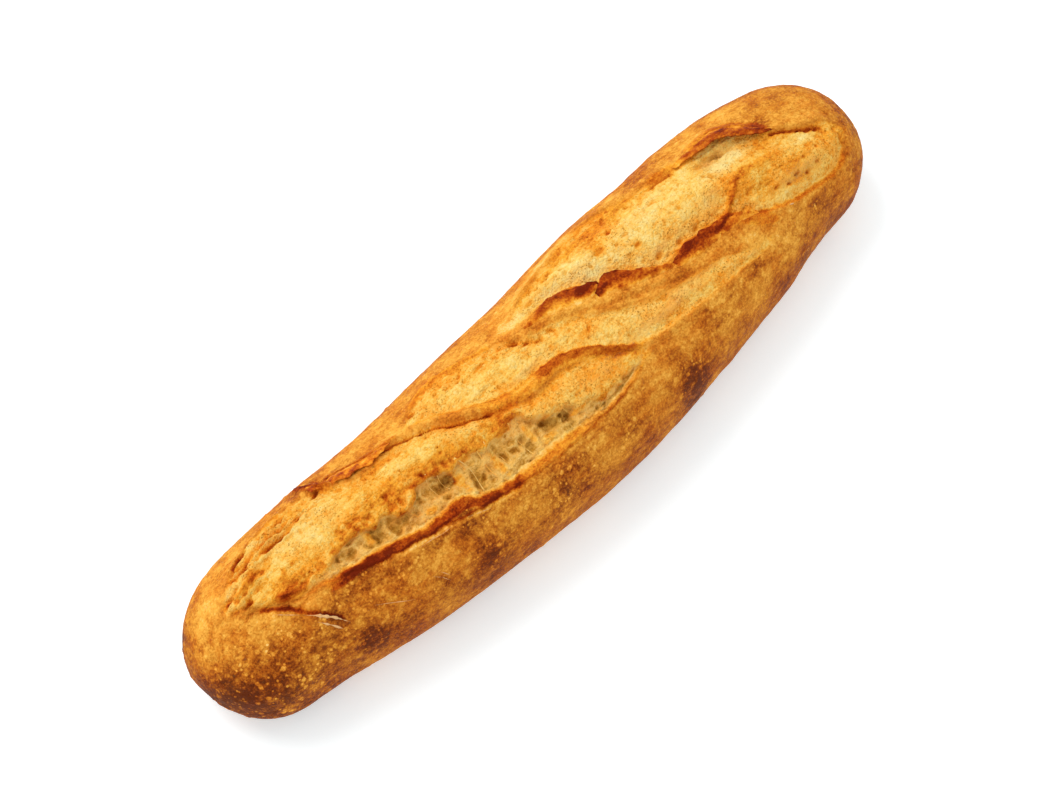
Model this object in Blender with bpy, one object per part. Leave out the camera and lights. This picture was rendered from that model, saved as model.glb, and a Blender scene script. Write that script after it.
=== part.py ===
"""A short, wide baguette: one closed solid of bread with three slanting slashes that opened in the oven.

Sizes are in millimetres until the mesh is written, in metres. X runs along the loaf, Z is up and the
loaf rests on its flat underside at Z = 0. A place on the crust is (along, across): along is X, and
across is the distance over the skin from the crown line, positive towards +Y.
"""
import bmesh
import bpy
import numpy as np
from mathutils import noise, Vector

MM = 0.001

# Overall form
LENGTH = 310.0
NEAR_WIDTH = 42.4        # from the crown line to the wide flank, at -Y
FAR_WIDTH = 30.8         # from the crown line to the steep flank, at +Y
HEIGHT = 52.5
WIDEST_LEVEL = 22.0      # height at which the loaf is widest
NEAR_TAPER = 20.0        # how much the wide flank draws in towards the tips
FAR_TAPER = 4.7
TAPER_POWER = 1.75
FAR_DRIFT = 1.2          # the steep flank is fuller at +X
CROWN_DROP = 0.16        # part of the height lost towards the tips
NEAR_TIP_RADIUS = 21.5
FAR_TIP_RADIUS = 35.0
TIP_POWER = 2.2          # bluntness of the tips: 2 is a quarter circle
CROWN_SET = 5.3          # the crown line lies this far to +Y of the middle of the loaf's width
TIP_BEND = 3.2           # the tips curl this much further towards +Y
SWING = 2.6              # but the last of the +X end swings back towards -Y
SWING_START = 106.0
SWING_LENGTH = 28.0
BASE_PRESS = 1.2         # how far the round underside is pressed flat
SHOULDER = 0.96          # roundness of the upper half's sides and crown
CROWN_ROUND = 0.94
BELLY = 0.62             # squareness of the lower half

# Gentle swells and waists of the two flanks: (along, reach along, how far out)
NEAR_SWELLS = [(-114, 20, -1.3), (-62, 26, -0.6), (18, 34, 0.8), (95, 12, 0.8), (124, 9, -1.0)]
FAR_SWELLS = [(-57, 26, -2.0), (48, 26, 1.5), (94, 12, 0.9), (126, 9, -0.6)]

# Edges of the three slashes, as (along, across) of the edge towards -Y and of the edge towards +Y
SLASHES = {
    "lower": dict(
        near=[(-137, 5), (-128, -2), (-120, -8), (-108, -11), (-95, -14), (-80, -18), (-65, -22),
              (-45, -28), (-25, -31), (0, -32), (15, -31), (29, -26)],
        far=[(-137, 6), (-128, 11), (-120, 15), (-105, 19), (-92, 21), (-84, 16), (-75, 11), (-55, 8),
             (-45, 5), (-35, -1), (-25, -7), (-15, -11), (0, -12), (12, -16), (22, -21), (29, -25)],
        lip=2.2, gape=3.4, bloom=1.8, fold=0.9),
    "middle": dict(
        near=[(-49, 11), (-40, 6), (-30, 0), (-20, -5), (-8, -7), (2, -7), (10, -10), (18, -16),
              (26, -22), (35, -25), (50, -27), (70, -28), (85, -29), (93, -28)],
        far=[(-49, 13), (-40, 18), (-32, 20), (-20, 16), (-8, 12), (0, 6), (10, 3), (20, -2), (30, -9),
             (40, -14), (55, -18), (70, -21), (82, -25), (93, -27)],
        lip=1.4, gape=1.8, bloom=0.3, fold=0.6),
    "upper": dict(
        near=[(0, 12), (10, 10), (18, 11), (27, 8), (32, 4), (37, 4), (44, -1), (52, -7), (62, -9),
              (75, -10), (85, -14), (95, -18), (105, -22), (120, -24), (133, -22), (143, -13)],
        far=[(0, 13), (8, 18), (18, 21), (30, 24), (45, 27), (58, 24), (70, 20), (82, 17), (90, 14),
             (98, 16), (106, 16), (112, 12), (117, 5), (124, 0), (132, -4), (140, -8), (143, -11)],
        lip=1.9, gape=2.2, bloom=2.4, fold=1.0),
}
LIP_WIDTH = 3.2          # breadth of the raised crust edge of a slash
WALL_WIDTH = 3.0         # over which the wall behind the lip falls to the valley
FULL_OPENING = 14.0      # a slash this wide has its full depth, a narrower one less

VALLEY_START = 0.1       # shares of a slash's width: where its valley starts to rise, and over how much
VALLEY_RISE = 0.45

# Curled ears of crust on far edges: (along, across, reach along, reach across, height)
EARS = [(-80, 16, 9, 4, 2.4), (104, 17, 13, 4, 2.0)]
LUMP_SIZE = 38.0
LUMP_HEIGHT = 0.7
REST_BLEND = 6.0         # height above the underside by which the relief has its full strength

# Mesh
STATIONS = 88
LINES = 52
TOP_REACH = 38.0         # the part of the skin, each side of the crown, with close lines
TOP_SPACING = 2.5
BASE_SPACING = 7.0
EDGE_SPACING = 1.6       # lines gather to this along a slash's edges
EDGE_REACH = 3.0
FINE = 721               # points of the outline from which lines are read

# Finish of the plain solid
CRUST_COLOUR = (0.58, 0.27, 0.06, 1.0)
CRUST_ROUGHNESS = 0.6


def smooth_line(points, along):
    """A smooth curve through hand-picked points, as the distance across for each distance along."""
    x, y = np.array(points, float).T
    slope = np.gradient(y, x)
    i = np.clip(np.searchsorted(x, along) - 1, 0, len(x) - 2)
    step = x[i + 1] - x[i]
    t = np.clip((along - x[i]) / step, 0, 1)
    hold, glide = 2 * t**3 - 3 * t**2, t**3 - 2 * t**2 + t
    return (y[i] * (1 + hold) - y[i + 1] * hold
            + step * (slope[i] * glide + slope[i + 1] * (t**3 - t**2)))


def ease(t):
    """0 to 1 with soft ends."""
    t = np.clip(t, 0, 1)
    return t * t * (3 - 2 * t)


def bump(distance, reach):
    """1 at no distance, fading to nothing."""
    return np.exp(-(distance / reach)**2)


def round_tip(along, radius):
    """Share of the full section that is left near a tip, nearly a quarter circle of this radius."""
    inset = np.clip((LENGTH / 2 - np.abs(along)) / radius, 0, 1)
    return (1 - (1 - inset)**TIP_POWER)**(1 / TIP_POWER)


def swell(along, places):
    """How far a flank stands out beyond its even taper."""
    return sum(amount * bump(along - at, reach) for at, reach, amount in places)


def outline(along, angle):
    """The smooth loaf without slashes: (y, z) at a distance along and an angle from the crown."""
    part = along / (LENGTH / 2)
    near = NEAR_WIDTH - NEAR_TAPER * np.abs(part)**TAPER_POWER + swell(along, NEAR_SWELLS)
    near = near * round_tip(along, NEAR_TIP_RADIUS)
    full = round_tip(along, FAR_TIP_RADIUS)
    far = (FAR_WIDTH + FAR_DRIFT * part - FAR_TAPER * part**4 + swell(along, FAR_SWELLS)) * full
    crown = WIDEST_LEVEL + (HEIGHT * (1 - CROWN_DROP * part**2) - WIDEST_LEVEL) * full
    under = WIDEST_LEVEL * (1 - full) - BASE_PRESS * full
    side, up = np.sin(angle), np.cos(angle)
    reach = np.where(side < 0, near, far) * np.sign(side)
    crown_line = CROWN_SET + TIP_BEND * part**2 - SWING * ease((along - SWING_START) / SWING_LENGTH)
    upper = up >= 0
    y = crown_line + reach * np.abs(side)**np.where(upper, SHOULDER, BELLY)
    z_upper = WIDEST_LEVEL + (crown - WIDEST_LEVEL) * np.abs(up)**CROWN_ROUND
    z_lower = WIDEST_LEVEL - (WIDEST_LEVEL - under) * np.abs(up)**BELLY
    return y, np.maximum(np.where(upper, z_upper, z_lower), 0)


def slash_relief(along, across, near, far, lip, gape, bloom, fold):
    """Height of one opened slash: a raised lip, a gaping valley behind it and a bloom of torn dough."""
    low, high = smooth_line(near, along), smooth_line(far, along)
    width = high - low
    within = ((along > near[0][0]) & (along < near[-1][0])).astype(float)
    opened = within * ease(width / FULL_OPENING)
    u = (across - low) / np.maximum(width, 1.0)
    inside = (u > 0) & (u < 1)
    u = np.clip(u, 0, 1)
    valley = -gape * ease((across - low) / WALL_WIDTH) * (1 - ease((u - VALLEY_START) / VALLEY_RISE))
    risen = bloom * np.sin(np.pi * ease((u - VALLEY_START) / (1 - VALLEY_START)))
    crest = lip * bump(across - low + LIP_WIDTH / 2, LIP_WIDTH) + fold * bump(across - high, LIP_WIDTH)
    return opened * (crest + np.where(inside, valley + risen, 0))


def relief(along, across):
    """Height of everything that stands proud of, or sinks below, the smooth loaf."""
    height = sum(slash_relief(along, across, **sizes) for sizes in SLASHES.values())
    for at, side, reach_along, reach_across, rise in EARS:
        height = height + rise * bump(along - at, reach_along) * bump(across - side, reach_across)
    return height


def line_weights(along, across):
    """How closely the mesh lines run here: close over the top, closest along a slash's edges."""
    weight = np.where(np.abs(across) < TOP_REACH, 1 / TOP_SPACING, 1 / BASE_SPACING)
    for sizes in SLASHES.values():
        low, high = smooth_line(sizes["near"], along), smooth_line(sizes["far"], along)
        there = ease((high - low) / FULL_OPENING)
        for edge in (low, high):
            weight = weight + there * bump(across - edge, EDGE_REACH) / EDGE_SPACING
    return weight


def open_edges(along):
    """Where a ring crosses the edges of the slashes that are open there."""
    edges = []
    for sizes in SLASHES.values():
        low, high = (float(smooth_line(sizes[edge], np.array(along))) for edge in ("near", "far"))
        if high - low > LIP_WIDTH:
            edges += [low, high]
    return edges


def station_places():
    """Distances along, evenly spaced over the crown's own curve from tip to tip."""
    fine = -LENGTH / 2 * np.cos(np.linspace(0, np.pi, FINE))
    _, crown = outline(fine, np.zeros(FINE))
    travelled = np.concatenate([[0], np.cumsum(np.hypot(np.diff(fine), np.diff(crown)))])
    return np.interp(np.linspace(0, travelled[-1], STATIONS + 2), travelled, fine)[1:-1]


def ring(along):
    """One section of the smooth loaf: where its lines lie across the skin, and their (y, z)."""
    angle = np.linspace(-np.pi, np.pi, FINE)
    y, z = outline(np.full(FINE, along), angle)
    across = np.concatenate([[0], np.cumsum(np.hypot(np.diff(y), np.diff(z)))])
    across -= across[FINE // 2]
    weight = line_weights(np.full(FINE, along), across)
    share = np.concatenate([[0], np.cumsum((weight[1:] + weight[:-1]) / 2 * np.diff(across))])
    lines = np.interp(np.arange(LINES) / LINES * share[-1], share, across)
    for edge in open_edges(along):
        lines[np.argmin(np.abs(lines - edge))] = edge
    return lines, np.interp(lines, across, y), np.interp(lines, across, z)


def skin_points():
    """Points of the whole skin, a row for each station, with the slashes and lumps raised."""
    places = station_places()
    rows = [ring(along) for along in places]
    across = np.array([row[0] for row in rows])
    along = np.repeat(places[:, None], LINES, axis=1)
    points = np.stack([along, [row[1] for row in rows], [row[2] for row in rows]], axis=-1)
    down_loaf = np.gradient(points, axis=0)
    round_loaf = np.roll(points, -1, axis=1) - np.roll(points, 1, axis=1)
    outward = np.cross(down_loaf, round_loaf)
    outward /= np.linalg.norm(outward, axis=-1, keepdims=True)
    resting = points[..., 2] <= 0
    lumps = [LUMP_HEIGHT * noise.noise(Vector(p / LUMP_SIZE)) for p in points.reshape(-1, 3)]
    height = relief(along, across) + np.array(lumps).reshape(along.shape)
    height *= ease(points[..., 2] / REST_BLEND)
    raised = points - outward * height[..., None] * np.where(resting, 0, 1)[..., None]
    raised[..., 2] = np.maximum(raised[..., 2], 0)
    return raised


def build_loaf():
    """The closed skin: rings of faces from tip to tip, with a fan of triangles at each end."""
    points = skin_points() * MM
    shell = bmesh.new()
    rings = [[shell.verts.new(p) for p in row] for row in points]
    for ring_a, ring_b in zip(rings, rings[1:]):
        for i in range(LINES):
            j = (i + 1) % LINES
            shell.faces.new((ring_a[i], ring_a[j], ring_b[j], ring_b[i]))
    for end, row in ((-1, rings[0]), (1, rings[-1])):
        tip_y, tip_z = outline(np.array([end * LENGTH / 2]), np.zeros(1))
        tip = shell.verts.new((end * LENGTH / 2 * MM, tip_y[0] * MM, tip_z[0] * MM))
        for i in range(LINES):
            shell.faces.new((row[i], row[(i + 1) % LINES], tip))
    bmesh.ops.triangulate(shell, faces=shell.faces[:])
    bmesh.ops.recalc_face_normals(shell, faces=shell.faces[:])
    mesh = bpy.data.meshes.new("loaf")
    shell.to_mesh(mesh)
    shell.free()
    mesh.shade_smooth()
    return mesh


def crust_material():
    """Baked crust, golden brown and matt."""
    material = bpy.data.materials.new("crust")
    material.use_nodes = True
    finish = material.node_tree.nodes["Principled BSDF"]
    finish.inputs["Base Color"].default_value = CRUST_COLOUR
    finish.inputs["Roughness"].default_value = CRUST_ROUGHNESS
    finish.inputs["Metallic"].default_value = 0.0
    return material


def main():
    for old in list(bpy.data.objects):
        bpy.data.objects.remove(old, do_unlink=True)
    mesh = build_loaf()
    mesh.materials.append(crust_material())
    loaf = bpy.data.objects.new("loaf", mesh)
    bpy.context.scene.collection.objects.link(loaf)


main()
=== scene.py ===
"""The looks of a short, wide baguette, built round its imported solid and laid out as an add-on.

The loaf's skin is one fine closed mesh: a smooth loaf in which three slanting slashes are opened, with
torn blooms of dough, valleys of open crumb, folds, fissures, pores and blisters. Curled ears of crust
stand along the slashes, strands of crumb cross the valleys, and traces of flour lie on the crust. A place
on the skin is (along, across): along is X, and across is the distance over the skin from the crown line,
positive towards +Y. Both are in millimetres, and become metres when a mesh is written.
"""
import itertools

import bpy
import numpy as np
from bpy.props import FloatProperty, FloatVectorProperty, IntProperty, PointerProperty
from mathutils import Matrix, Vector


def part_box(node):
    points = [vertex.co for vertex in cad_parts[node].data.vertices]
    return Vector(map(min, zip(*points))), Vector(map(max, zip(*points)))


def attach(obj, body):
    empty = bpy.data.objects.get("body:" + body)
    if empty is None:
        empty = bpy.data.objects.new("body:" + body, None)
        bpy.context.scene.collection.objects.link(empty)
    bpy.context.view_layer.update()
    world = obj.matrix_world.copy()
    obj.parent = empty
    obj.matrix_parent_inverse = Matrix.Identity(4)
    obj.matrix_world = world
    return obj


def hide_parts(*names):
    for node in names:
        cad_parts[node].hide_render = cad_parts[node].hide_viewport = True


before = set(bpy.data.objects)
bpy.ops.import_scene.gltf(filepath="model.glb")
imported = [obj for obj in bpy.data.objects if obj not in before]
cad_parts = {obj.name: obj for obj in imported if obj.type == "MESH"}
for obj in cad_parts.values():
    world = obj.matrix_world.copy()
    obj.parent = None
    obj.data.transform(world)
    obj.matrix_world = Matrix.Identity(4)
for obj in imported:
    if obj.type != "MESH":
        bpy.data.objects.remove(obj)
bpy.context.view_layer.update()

bl_info = {
    "name": "Baguette maker",
    "version": (1, 0, 0),
    "blender": (4, 5, 0),
    "location": "3D View > Sidebar > Baguette",
    "description": "Shapes, tears and finishes a crusty baguette",
    "category": "Add Mesh",
}

MM = 0.001
LOAF_LOW, LOAF_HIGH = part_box("loaf")
LENGTH, WIDTH, HEIGHT = ((high - low) / MM for low, high in zip(LOAF_LOW, LOAF_HIGH))

# Form of the smooth loaf: shares of the solid's width and height, lengths in millimetres, and powers
NEAR_SHARE, FAR_SHARE, CROWN_SHARE = 0.556, 0.404, 0.974
LEVEL_SHARE, CROWN_SET = 0.408, 5.3
NEAR_TAPER, FAR_TAPER, TAPER_POWER, FAR_DRIFT = 20.0, 4.7, 1.75, 1.2
NEAR_TIP_RADIUS, FAR_TIP_RADIUS, TIP_POWER = 21.5, 35.0, 2.2
TIP_BEND, SWING, SWING_START, SWING_LENGTH = 3.2, 2.6, 106.0, 28.0
CROWN_DROP, BASE_PRESS = 0.16, 1.2
SHOULDER, CROWN_ROUND, BELLY = 0.96, 0.94, 0.62
NEAR_SWELLS = [(-114, 20, -1.3), (-62, 26, -0.6), (18, 34, 0.8), (95, 12, 0.8), (124, 9, -1.0)]
FAR_SWELLS = [(-57, 26, -2.0), (48, 26, 1.5), (94, 12, 0.9), (126, 9, -0.6)]
OUTLINE_STEPS = 1441

# Edges of the slashes, each through a few places (along, across)
LOWER_CREST = [(-137, 5), (-128, -2), (-120, -9), (-110, -11), (-100, -13.5), (-90, -17.5), (-78, -20.5),
               (-65, -23.5), (-50, -27.5), (-35, -30.5), (-15, -32.3), (0, -32.6), (12, -32), (21, -30),
               (29, -26)]
LOWER_INNER = [(-137, 5.5), (-128, -1), (-120, -7), (-110, -9), (-100, -11), (-90, -13), (-78, -16.5),
               (-65, -19), (-55, -19.5), (-50, -23), (-42, -26), (-25, -27.5), (-10, -28.8), (0, -31.2),
               (12, -30.9), (21, -29), (29, -25.5)]
LOWER_RIM = [(-137, 5.8), (-128, 0), (-120, -5), (-110, -7), (-102, -7), (-96, -4.5), (-88, -5),
             (-83, -7), (-79, -6), (-73, -10), (-68, -10), (-64, -7), (-58, -7), (-52, -10), (-46, -9),
             (-40, -11.5), (-30, -12), (-24, -12), (-17, -17), (-12, -19), (-8, -21), (0, -25.5),
             (12, -27), (21, -27), (29, -25.2)]
LOWER_FAR = [(-137, 7), (-128, 13.5), (-120, 18), (-105, 20.5), (-92, 20), (-84, 15), (-75, 10), (-65, 9),
             (-55, 9), (-45, 5), (-38, 0), (-30, -5), (-22, -9), (-12, -12), (0, -12), (12, -16),
             (22, -21), (29, -25)]
MIDDLE_NEAR = [(-49, 11), (-40, 6), (-30, 0), (-20, -4.5), (-8, -6), (2, -7), (10, -10), (18, -16),
               (26, -22), (35, -25), (50, -27), (70, -28), (85, -29), (93, -28)]
MIDDLE_FAR = [(-49, 13), (-40, 18), (-32, 20), (-25, 18), (-15, 14), (-8, 12), (0, 6), (10, 3), (20, -2),
              (30, -9), (40, -14), (55, -18), (70, -20), (82, -25), (93, -27)]
UPPER_NEAR = [(0, 12), (8, 11.5), (14, 12), (20, 11), (25, 9), (29, 5.5), (33, 2.8), (37, 2.8), (40, 1),
              (46, -4), (52, -8), (57, -8.7), (65, -7.8), (75, -9.5), (85, -11), (90, -14), (97, -19),
              (105, -22), (120, -24), (133, -22), (143, -13)]
UPPER_FAR = [(0, 13), (8, 18), (18, 21), (30, 24), (45, 27), (58, 24), (70, 20), (82, 17), (90, 14.5),
             (98, 14), (106, 13.5), (112, 9.5), (117, 4), (124, 0), (132, -4), (140, -8), (143, -12)]

# Raised folds and sunken fissures: (places, reach, height, how much darker). On the raised folds the
# darkening is toast; in the sunken fissures it is painted shade.
STROKES = [
    # The end crack: a groove with painted shade along it
    ([(-130, -1), (-125, -5.5), (-120, -11), (-115, -17), (-110, -24)], 1.0, -1.3, 0.34),
    ([(-128, -5), (-121, -12), (-115, -17), (-108, -25)], 1.8, 0.8, 0),
    ([(-126, 15), (-121, 17.5), (-116, 18.5)], 0.8, -0.9, 0.4),
    ([(-124, 11.5), (-118, 14), (-115, 14.5)], 0.5, -0.6, 0.2),
    ([(-137, 6.5), (-131, 7.5)], 0.8, -0.9, 0.36),
    ([(-126, 5.5), (-121, 8)], 0.7, -0.8, 0.26),
    ([(-113, 18), (-108, 18.3)], 0.7, -0.8, 0.3),
    ([(-131, 9), (-124, 13.5), (-114, 17), (-102, 18), (-94, 17.5)], 1.6, 0.9, 0.03),
    ([(-129, 5), (-121, 10.5), (-112, 13.5), (-105, 14.5)], 1.3, 0.7, 0.03),
    ([(-140, 3), (-134, 5), (-129, 2)], 1.2, 0.5, -0.05),
    ([(-133, 9.5), (-127, 14.5), (-119, 19), (-109, 20.8), (-99, 20.6)], 1.0, 0.8, 0.06),
    ([(-128, 8), (-121, 12.2), (-112, 15.6), (-103, 16.6)], 0.8, 0.8, 0.04),
    ([(-131, 5.2), (-125, 6.8), (-119, 10.2), (-112, 12.4)], 0.7, 0.6, 0.04),
    ([(-117, 14.6), (-110, 16.8), (-100, 17.6), (-94, 16)], 0.5, -0.6, 0.12),
    ([(-123, -3), (-117, -6), (-112, -7.6)], 1.0, 0.7, 0.16),
    ([(-118, 0), (-113, 2), (-108, 1.4)], 0.8, 0.5, 0.12),
    ([(-90, 28), (-88, 23), (-85, 17), (-81, 14)], 1.5, 1.8, 0.42),
    ([(-84, 26), (-83, 20), (-79, 17)], 0.7, -0.5, 0.22),
    ([(-82, 19.5), (-76, 17), (-70, 14.5), (-62, 12), (-54, 11)], 1.0, 0.9, 0.22),
    ([(-80, 17.5), (-74, 15), (-66, 11.5), (-60, 10.5)], 0.6, -0.6, 0.26),
    # A groove with a painted shadow along the lower edge of the bridge between the lower and middle slashes
    ([(-66, 11), (-58, 9.5), (-51, 7), (-45, 3.6), (-40, 0.2), (-35, -3), (-27, -6.8)], 0.42, -0.6, 0.34),
    ([(-30, -5.2), (-24, -8), (-12, -11.3), (0, -12), (10, -15)], 0.7, -0.3, 0.08),
    ([(-49, 14.5), (-43, 17), (-36, 20), (-28, 19.8), (-18, 15.5), (-8, 12.5)], 0.6, -0.4, 0.12),
    ([(3, 7), (10, 4), (20, -0.5), (30, -6), (42, -11.5), (52, -15.5), (62, -18)], 0.8, -0.45, 0.08),
    ([(0, 4), (10, 1), (20, -3.5), (30, -9), (40, -13.5)], 0.6, -0.25, 0.05),
    ([(8, 6), (20, 1.3), (30, -3.8), (42, -9.3), (55, -14)], 1.8, 0.8, -0.04),
    ([(75, -12.8), (84, -11.2), (90, -8.4), (94, -5.6), (97, -2.6)], 1.0, 1.2, 0.26),
    ([(74, 19.5), (82, 17.5), (90, 15.5)], 0.8, -0.5, 0.10),
    ([(73, 17), (79, 16), (85, 15)], 0.6, -0.5, 0.22),
    ([(8, 19), (20, 22.5), (34, 25), (50, 26)], 1.5, 0.9, 0.12),
    ([(18, 18.5), (34, 21.5), (52, 22.5), (64, 19.5)], 1.2, 0.6, 0.1),
    ([(44, 27.5), (52, 25.5), (60, 23)], 1.0, 0.4, 0.16),
    ([(118, 1.5), (124, -1), (130, -4), (137, -8)], 0.8, -0.8, 0.34),
    ([(107, -16.3), (114, -17.2), (122, -17.5)], 1.0, -0.8, 0.12),
    ([(103, -12.5), (107, -14)], 0.7, -0.7, 0.12),
    ([(133, -7), (139, -12), (140, -18), (135, -22)], 0.7, -0.6, 0.14),
    ([(98, -3.5), (106, -6), (118, -6)], 2.2, 0.6, 0.1),
    ([(-79, -33), (-74, -40)], 0.5, -0.3, 0.12),
    ([(2, 2), (-4, 8), (-10, 11)], 0.8, -0.8, 0.12),
    # Painted shade under the overhanging torn edge, beside the big hollow
    ([(-58, -8), (-54, -11), (-52.5, -16)], 1.0, -1.0, 0.5),
    ([(-3, -29.4), (4, -30), (15, -29.6)], 0.5, -0.9, 0.4),
]
# Round hollows: (along, across, reach along, reach across, depth, how much darker with painted shade)
HOLLOWS = [
    # The first two hollows are darkest: painted shade under the overhanging torn edge
    (-56, -13, 3.8, 3.0, 2.6, 0.7), (-54, -11.6, 1.8, 1.6, 1.4, 1.0), (-84, -8.5, 3.4, 2.2, 1.4, 0.4),
    (-95, -9, 3, 1.8, 1.3, 0.4), (-90, -8, 1.6, 1.3, 1, 0.2), (-70, -13.5, 1.8, 1.4, 0.8, 0.3),
    (-48, -21.5, 1.4, 2.4, 1.6, 0.5), (-33, -17.5, 3, 1.8, 1.4, 0.25), (-26.5, -19.8, 2.2, 1.5, 1.4, 0.7),
    (-17, -20, 2.5, 1.6, 1.5, 0.8), (-9, -24.5, 2.5, 1.2, 1.3, 0.8), (-40.5, -20, 2.0, 2.6, 1.5, 0.2),
    (-74, -3, 1.5, 1.2, 1.1, 0.26), (-66, -5.5, 1.1, 0.9, 0.8, 0.2), (-80, -2.5, 1.1, 0.8, 0.7, 0.16),
    (-60, -5, 1, 0.8, 0.7, 0.2), (-88, 17, 2, 1, 1.4, 0.5), (-18, 9.5, 3.4, 1.0, 1.2, 0.25),
    (-35, 14, 1, 0.7, 0.9, 0.35), (-25, 13, 1.3, 0.7, 0.9, 0.36), (-31, 11.5, 0.9, 0.6, 0.7, 0.3),
    (-27, 10.6, 0.9, 0.6, 0.8, 0.3), (-46, 14, 1.6, 0.8, 1, 0.35), (-3, 7.5, 2.6, 1.1, 1.4, 0.28),
    (-1, 4.3, 2, 0.8, 1.1, 0.24), (3, 2, 2, 0.9, 1.3, 0.36), (8, 2, 1.6, 0.7, 1, 0.3),
    (18, -7, 1, 0.7, 0.7, 0.25), (13, -3, 1, 0.7, 0.7, 0.25), (27, -13, 1.2, 0.6, 0.6, 0.2),
    (48, -20, 1.2, 0.6, 0.5, 0.2), (12, 15, 2.4, 0.9, 1.2, 0.26), (25, 19.5, 1.2, 0.7, 0.8, 0.2),
    (42, 10, 2.8, 1.3, 1.2, 0.25), (50, 13, 1.4, 1.1, 1.2, 0.4), (54, 21, 1.1, 0.7, 0.8, 0.25),
    (63, 18, 1.1, 0.7, 0.8, 0.25), (57, 15, 1.1, 0.8, 0.9, 0.25), (53, 8, 1.3, 0.8, 0.9, 0.25),
    (53, 2.5, 1.6, 1.0, 1.1, 0.3), (63, 3.5, 1.3, 0.8, 0.9, 0.2), (73, 2.5, 1.3, 0.8, 0.9, 0.2),
    (56, -5, 1.8, 1.3, 1.3, 0.3), (65, -6, 1.5, 1, 1.2, 0.34), (73, -6.8, 1.6, 1, 1.3, 0.4),
    (69, 11, 2.5, 1, 0.8, 0.2), (97, 9.6, 7, 2.2, 2.2, 0.2), (103, 8.2, 5, 2.0, 1.9, 0.15),
    (-43, -23, 3.0, 2.0, 1.6, 0.3), (-74, -11.5, 3.0, 2.2, 1.4, 0.6), (33, 15, 1.2, 0.7, 0.7, 0.2),
    (36, 9, 1, 0.7, 0.7, 0.16), (79, 8, 1.4, 0.8, 0.8, 0.16), (91, 3, 1.2, 1.6, 0.9, 0.3),
    (128, -3.5, 1, 0.6, 1, 0.4), (134, -7, 1, 0.6, 1, 0.4), (84, -3, 4.5, 3, 0.7, -0.08),
    (106, -15.6, 1.2, 0.7, 0.9, 0.4), (110.5, -17.4, 1.0, 0.7, 0.8, 0.4),
    (115, -16.2, 1.4, 0.7, 0.9, 0.45), (119.5, -18, 1.1, 0.7, 0.8, 0.35),
    (124, -16.5, 1.2, 0.7, 0.8, 0.3), (128, -12, 1.0, 0.7, 0.7, 0.3), (121, -12.5, 1.0, 0.7, 0.6, 0.3),
    (112, -11, 0.9, 0.6, 0.6, 0.3),
]
# Darker places in the crust: (along, across, reach along, reach across, how much darker)
DARK_PATCHES = [
    (-105, -37, 7, 9, 0.28), (-77, -38, 5, 5, 0.22), (-57, -41, 7, 6, 0.22), (-27, -42, 7, 6, 0.24),
    (-42, -39, 7, 4, 0.08), (-20, -47, 10, 6, 0.22), (-13, -40, 5, 4, 0.18), (5, -42, 6, 6, 0.22),
    (36, -44, 8, 9, 0.23), (38, -56, 8, 12, 0.2), (52, -33, 5, 4, 0.14), (82, -31, 5, 2.5, 0.22),
    (70, -36, 4, 4, 0.12), (-102, -18, 14, 4.5, 0.24), (-115, -25, 8, 6, 0.14), (-84, -25, 16, 5, 0.12),
    (-50, -31, 14, 4, 0.13), (-26, -35, 18, 4, 0.11), (-2, -34, 14, 4, 0.08), (80, -31, 30, 6, 0.07),
    (108, -24, 10, 5, 0.10), (136, -24, 7, 6, 0.10), (-3, 14, 9, 4, -0.20), (76, 25, 14, 4, 0.10),
    (-134, 13, 10, 5, -0.17), (-95, -15.4, 4, 1.7, 0.30), (-87, -18, 3, 1.3, 0.16),
    (-71, -20.6, 5, 1.4, 0.22), (-57, -24, 5, 1.6, 0.2), (-46, -27.5, 6, 1.4, 0.2),
    (-68, -25, 9, 3, 0.14), (30, 26, 20, 4, -0.26), (51, -12, 6, 3, -0.2), (140, -12, 6, 4, 0.12),
    (8, -31, 9, 2.5, 0.2), (-132, -14, 8, 4, 0.14), (-22, -38, 7, 4, 0.12), (-112, -20, 6, 4, 0.10),
    (120, 18, 18, 4, -0.12), (2, 15, 5, 3, -0.14), (-152, 19, 7, 5, 0.32), (-115, -12.5, 7, 3, -0.16),
    (115, -31, 4, 5, 0.22), (103, -47, 6, 7, 0.2), (122, -45, 7, 6, 0.14), (-142, -18, 12, 10, 0.10),
    (-136, -28, 14, 10, 0.12), (-120, -26, 10, 8, 0.08), (-90, -26, 12, 5, 0.10), (-60, -44, 14, 8, 0.10),
    # (-121, -7) on the next line is a painted shadow above the end crack
    (-121, -7, 5, 2.6, 0.2), (130, 12, 12, 8, 0.06), (119, 6.5, 5, 3, 0.24), (112, 15, 6, 2.5, 0.08),
    (138, 4, 8, 8, -0.10), (-151, -12, 7, 8, 0.24), (-90, 24, 8, 4, 0.12), (116, 23, 18, 5, -0.12),
    (-58, -28, 7, 3, 0.26), (60, -35, 7, 4, 0.14), (-90, -40, 6, 4, 0.10), (-118, 21, 12, 4, -0.12),
    (148, -8, 5, 12, 0.16),
]
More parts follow.
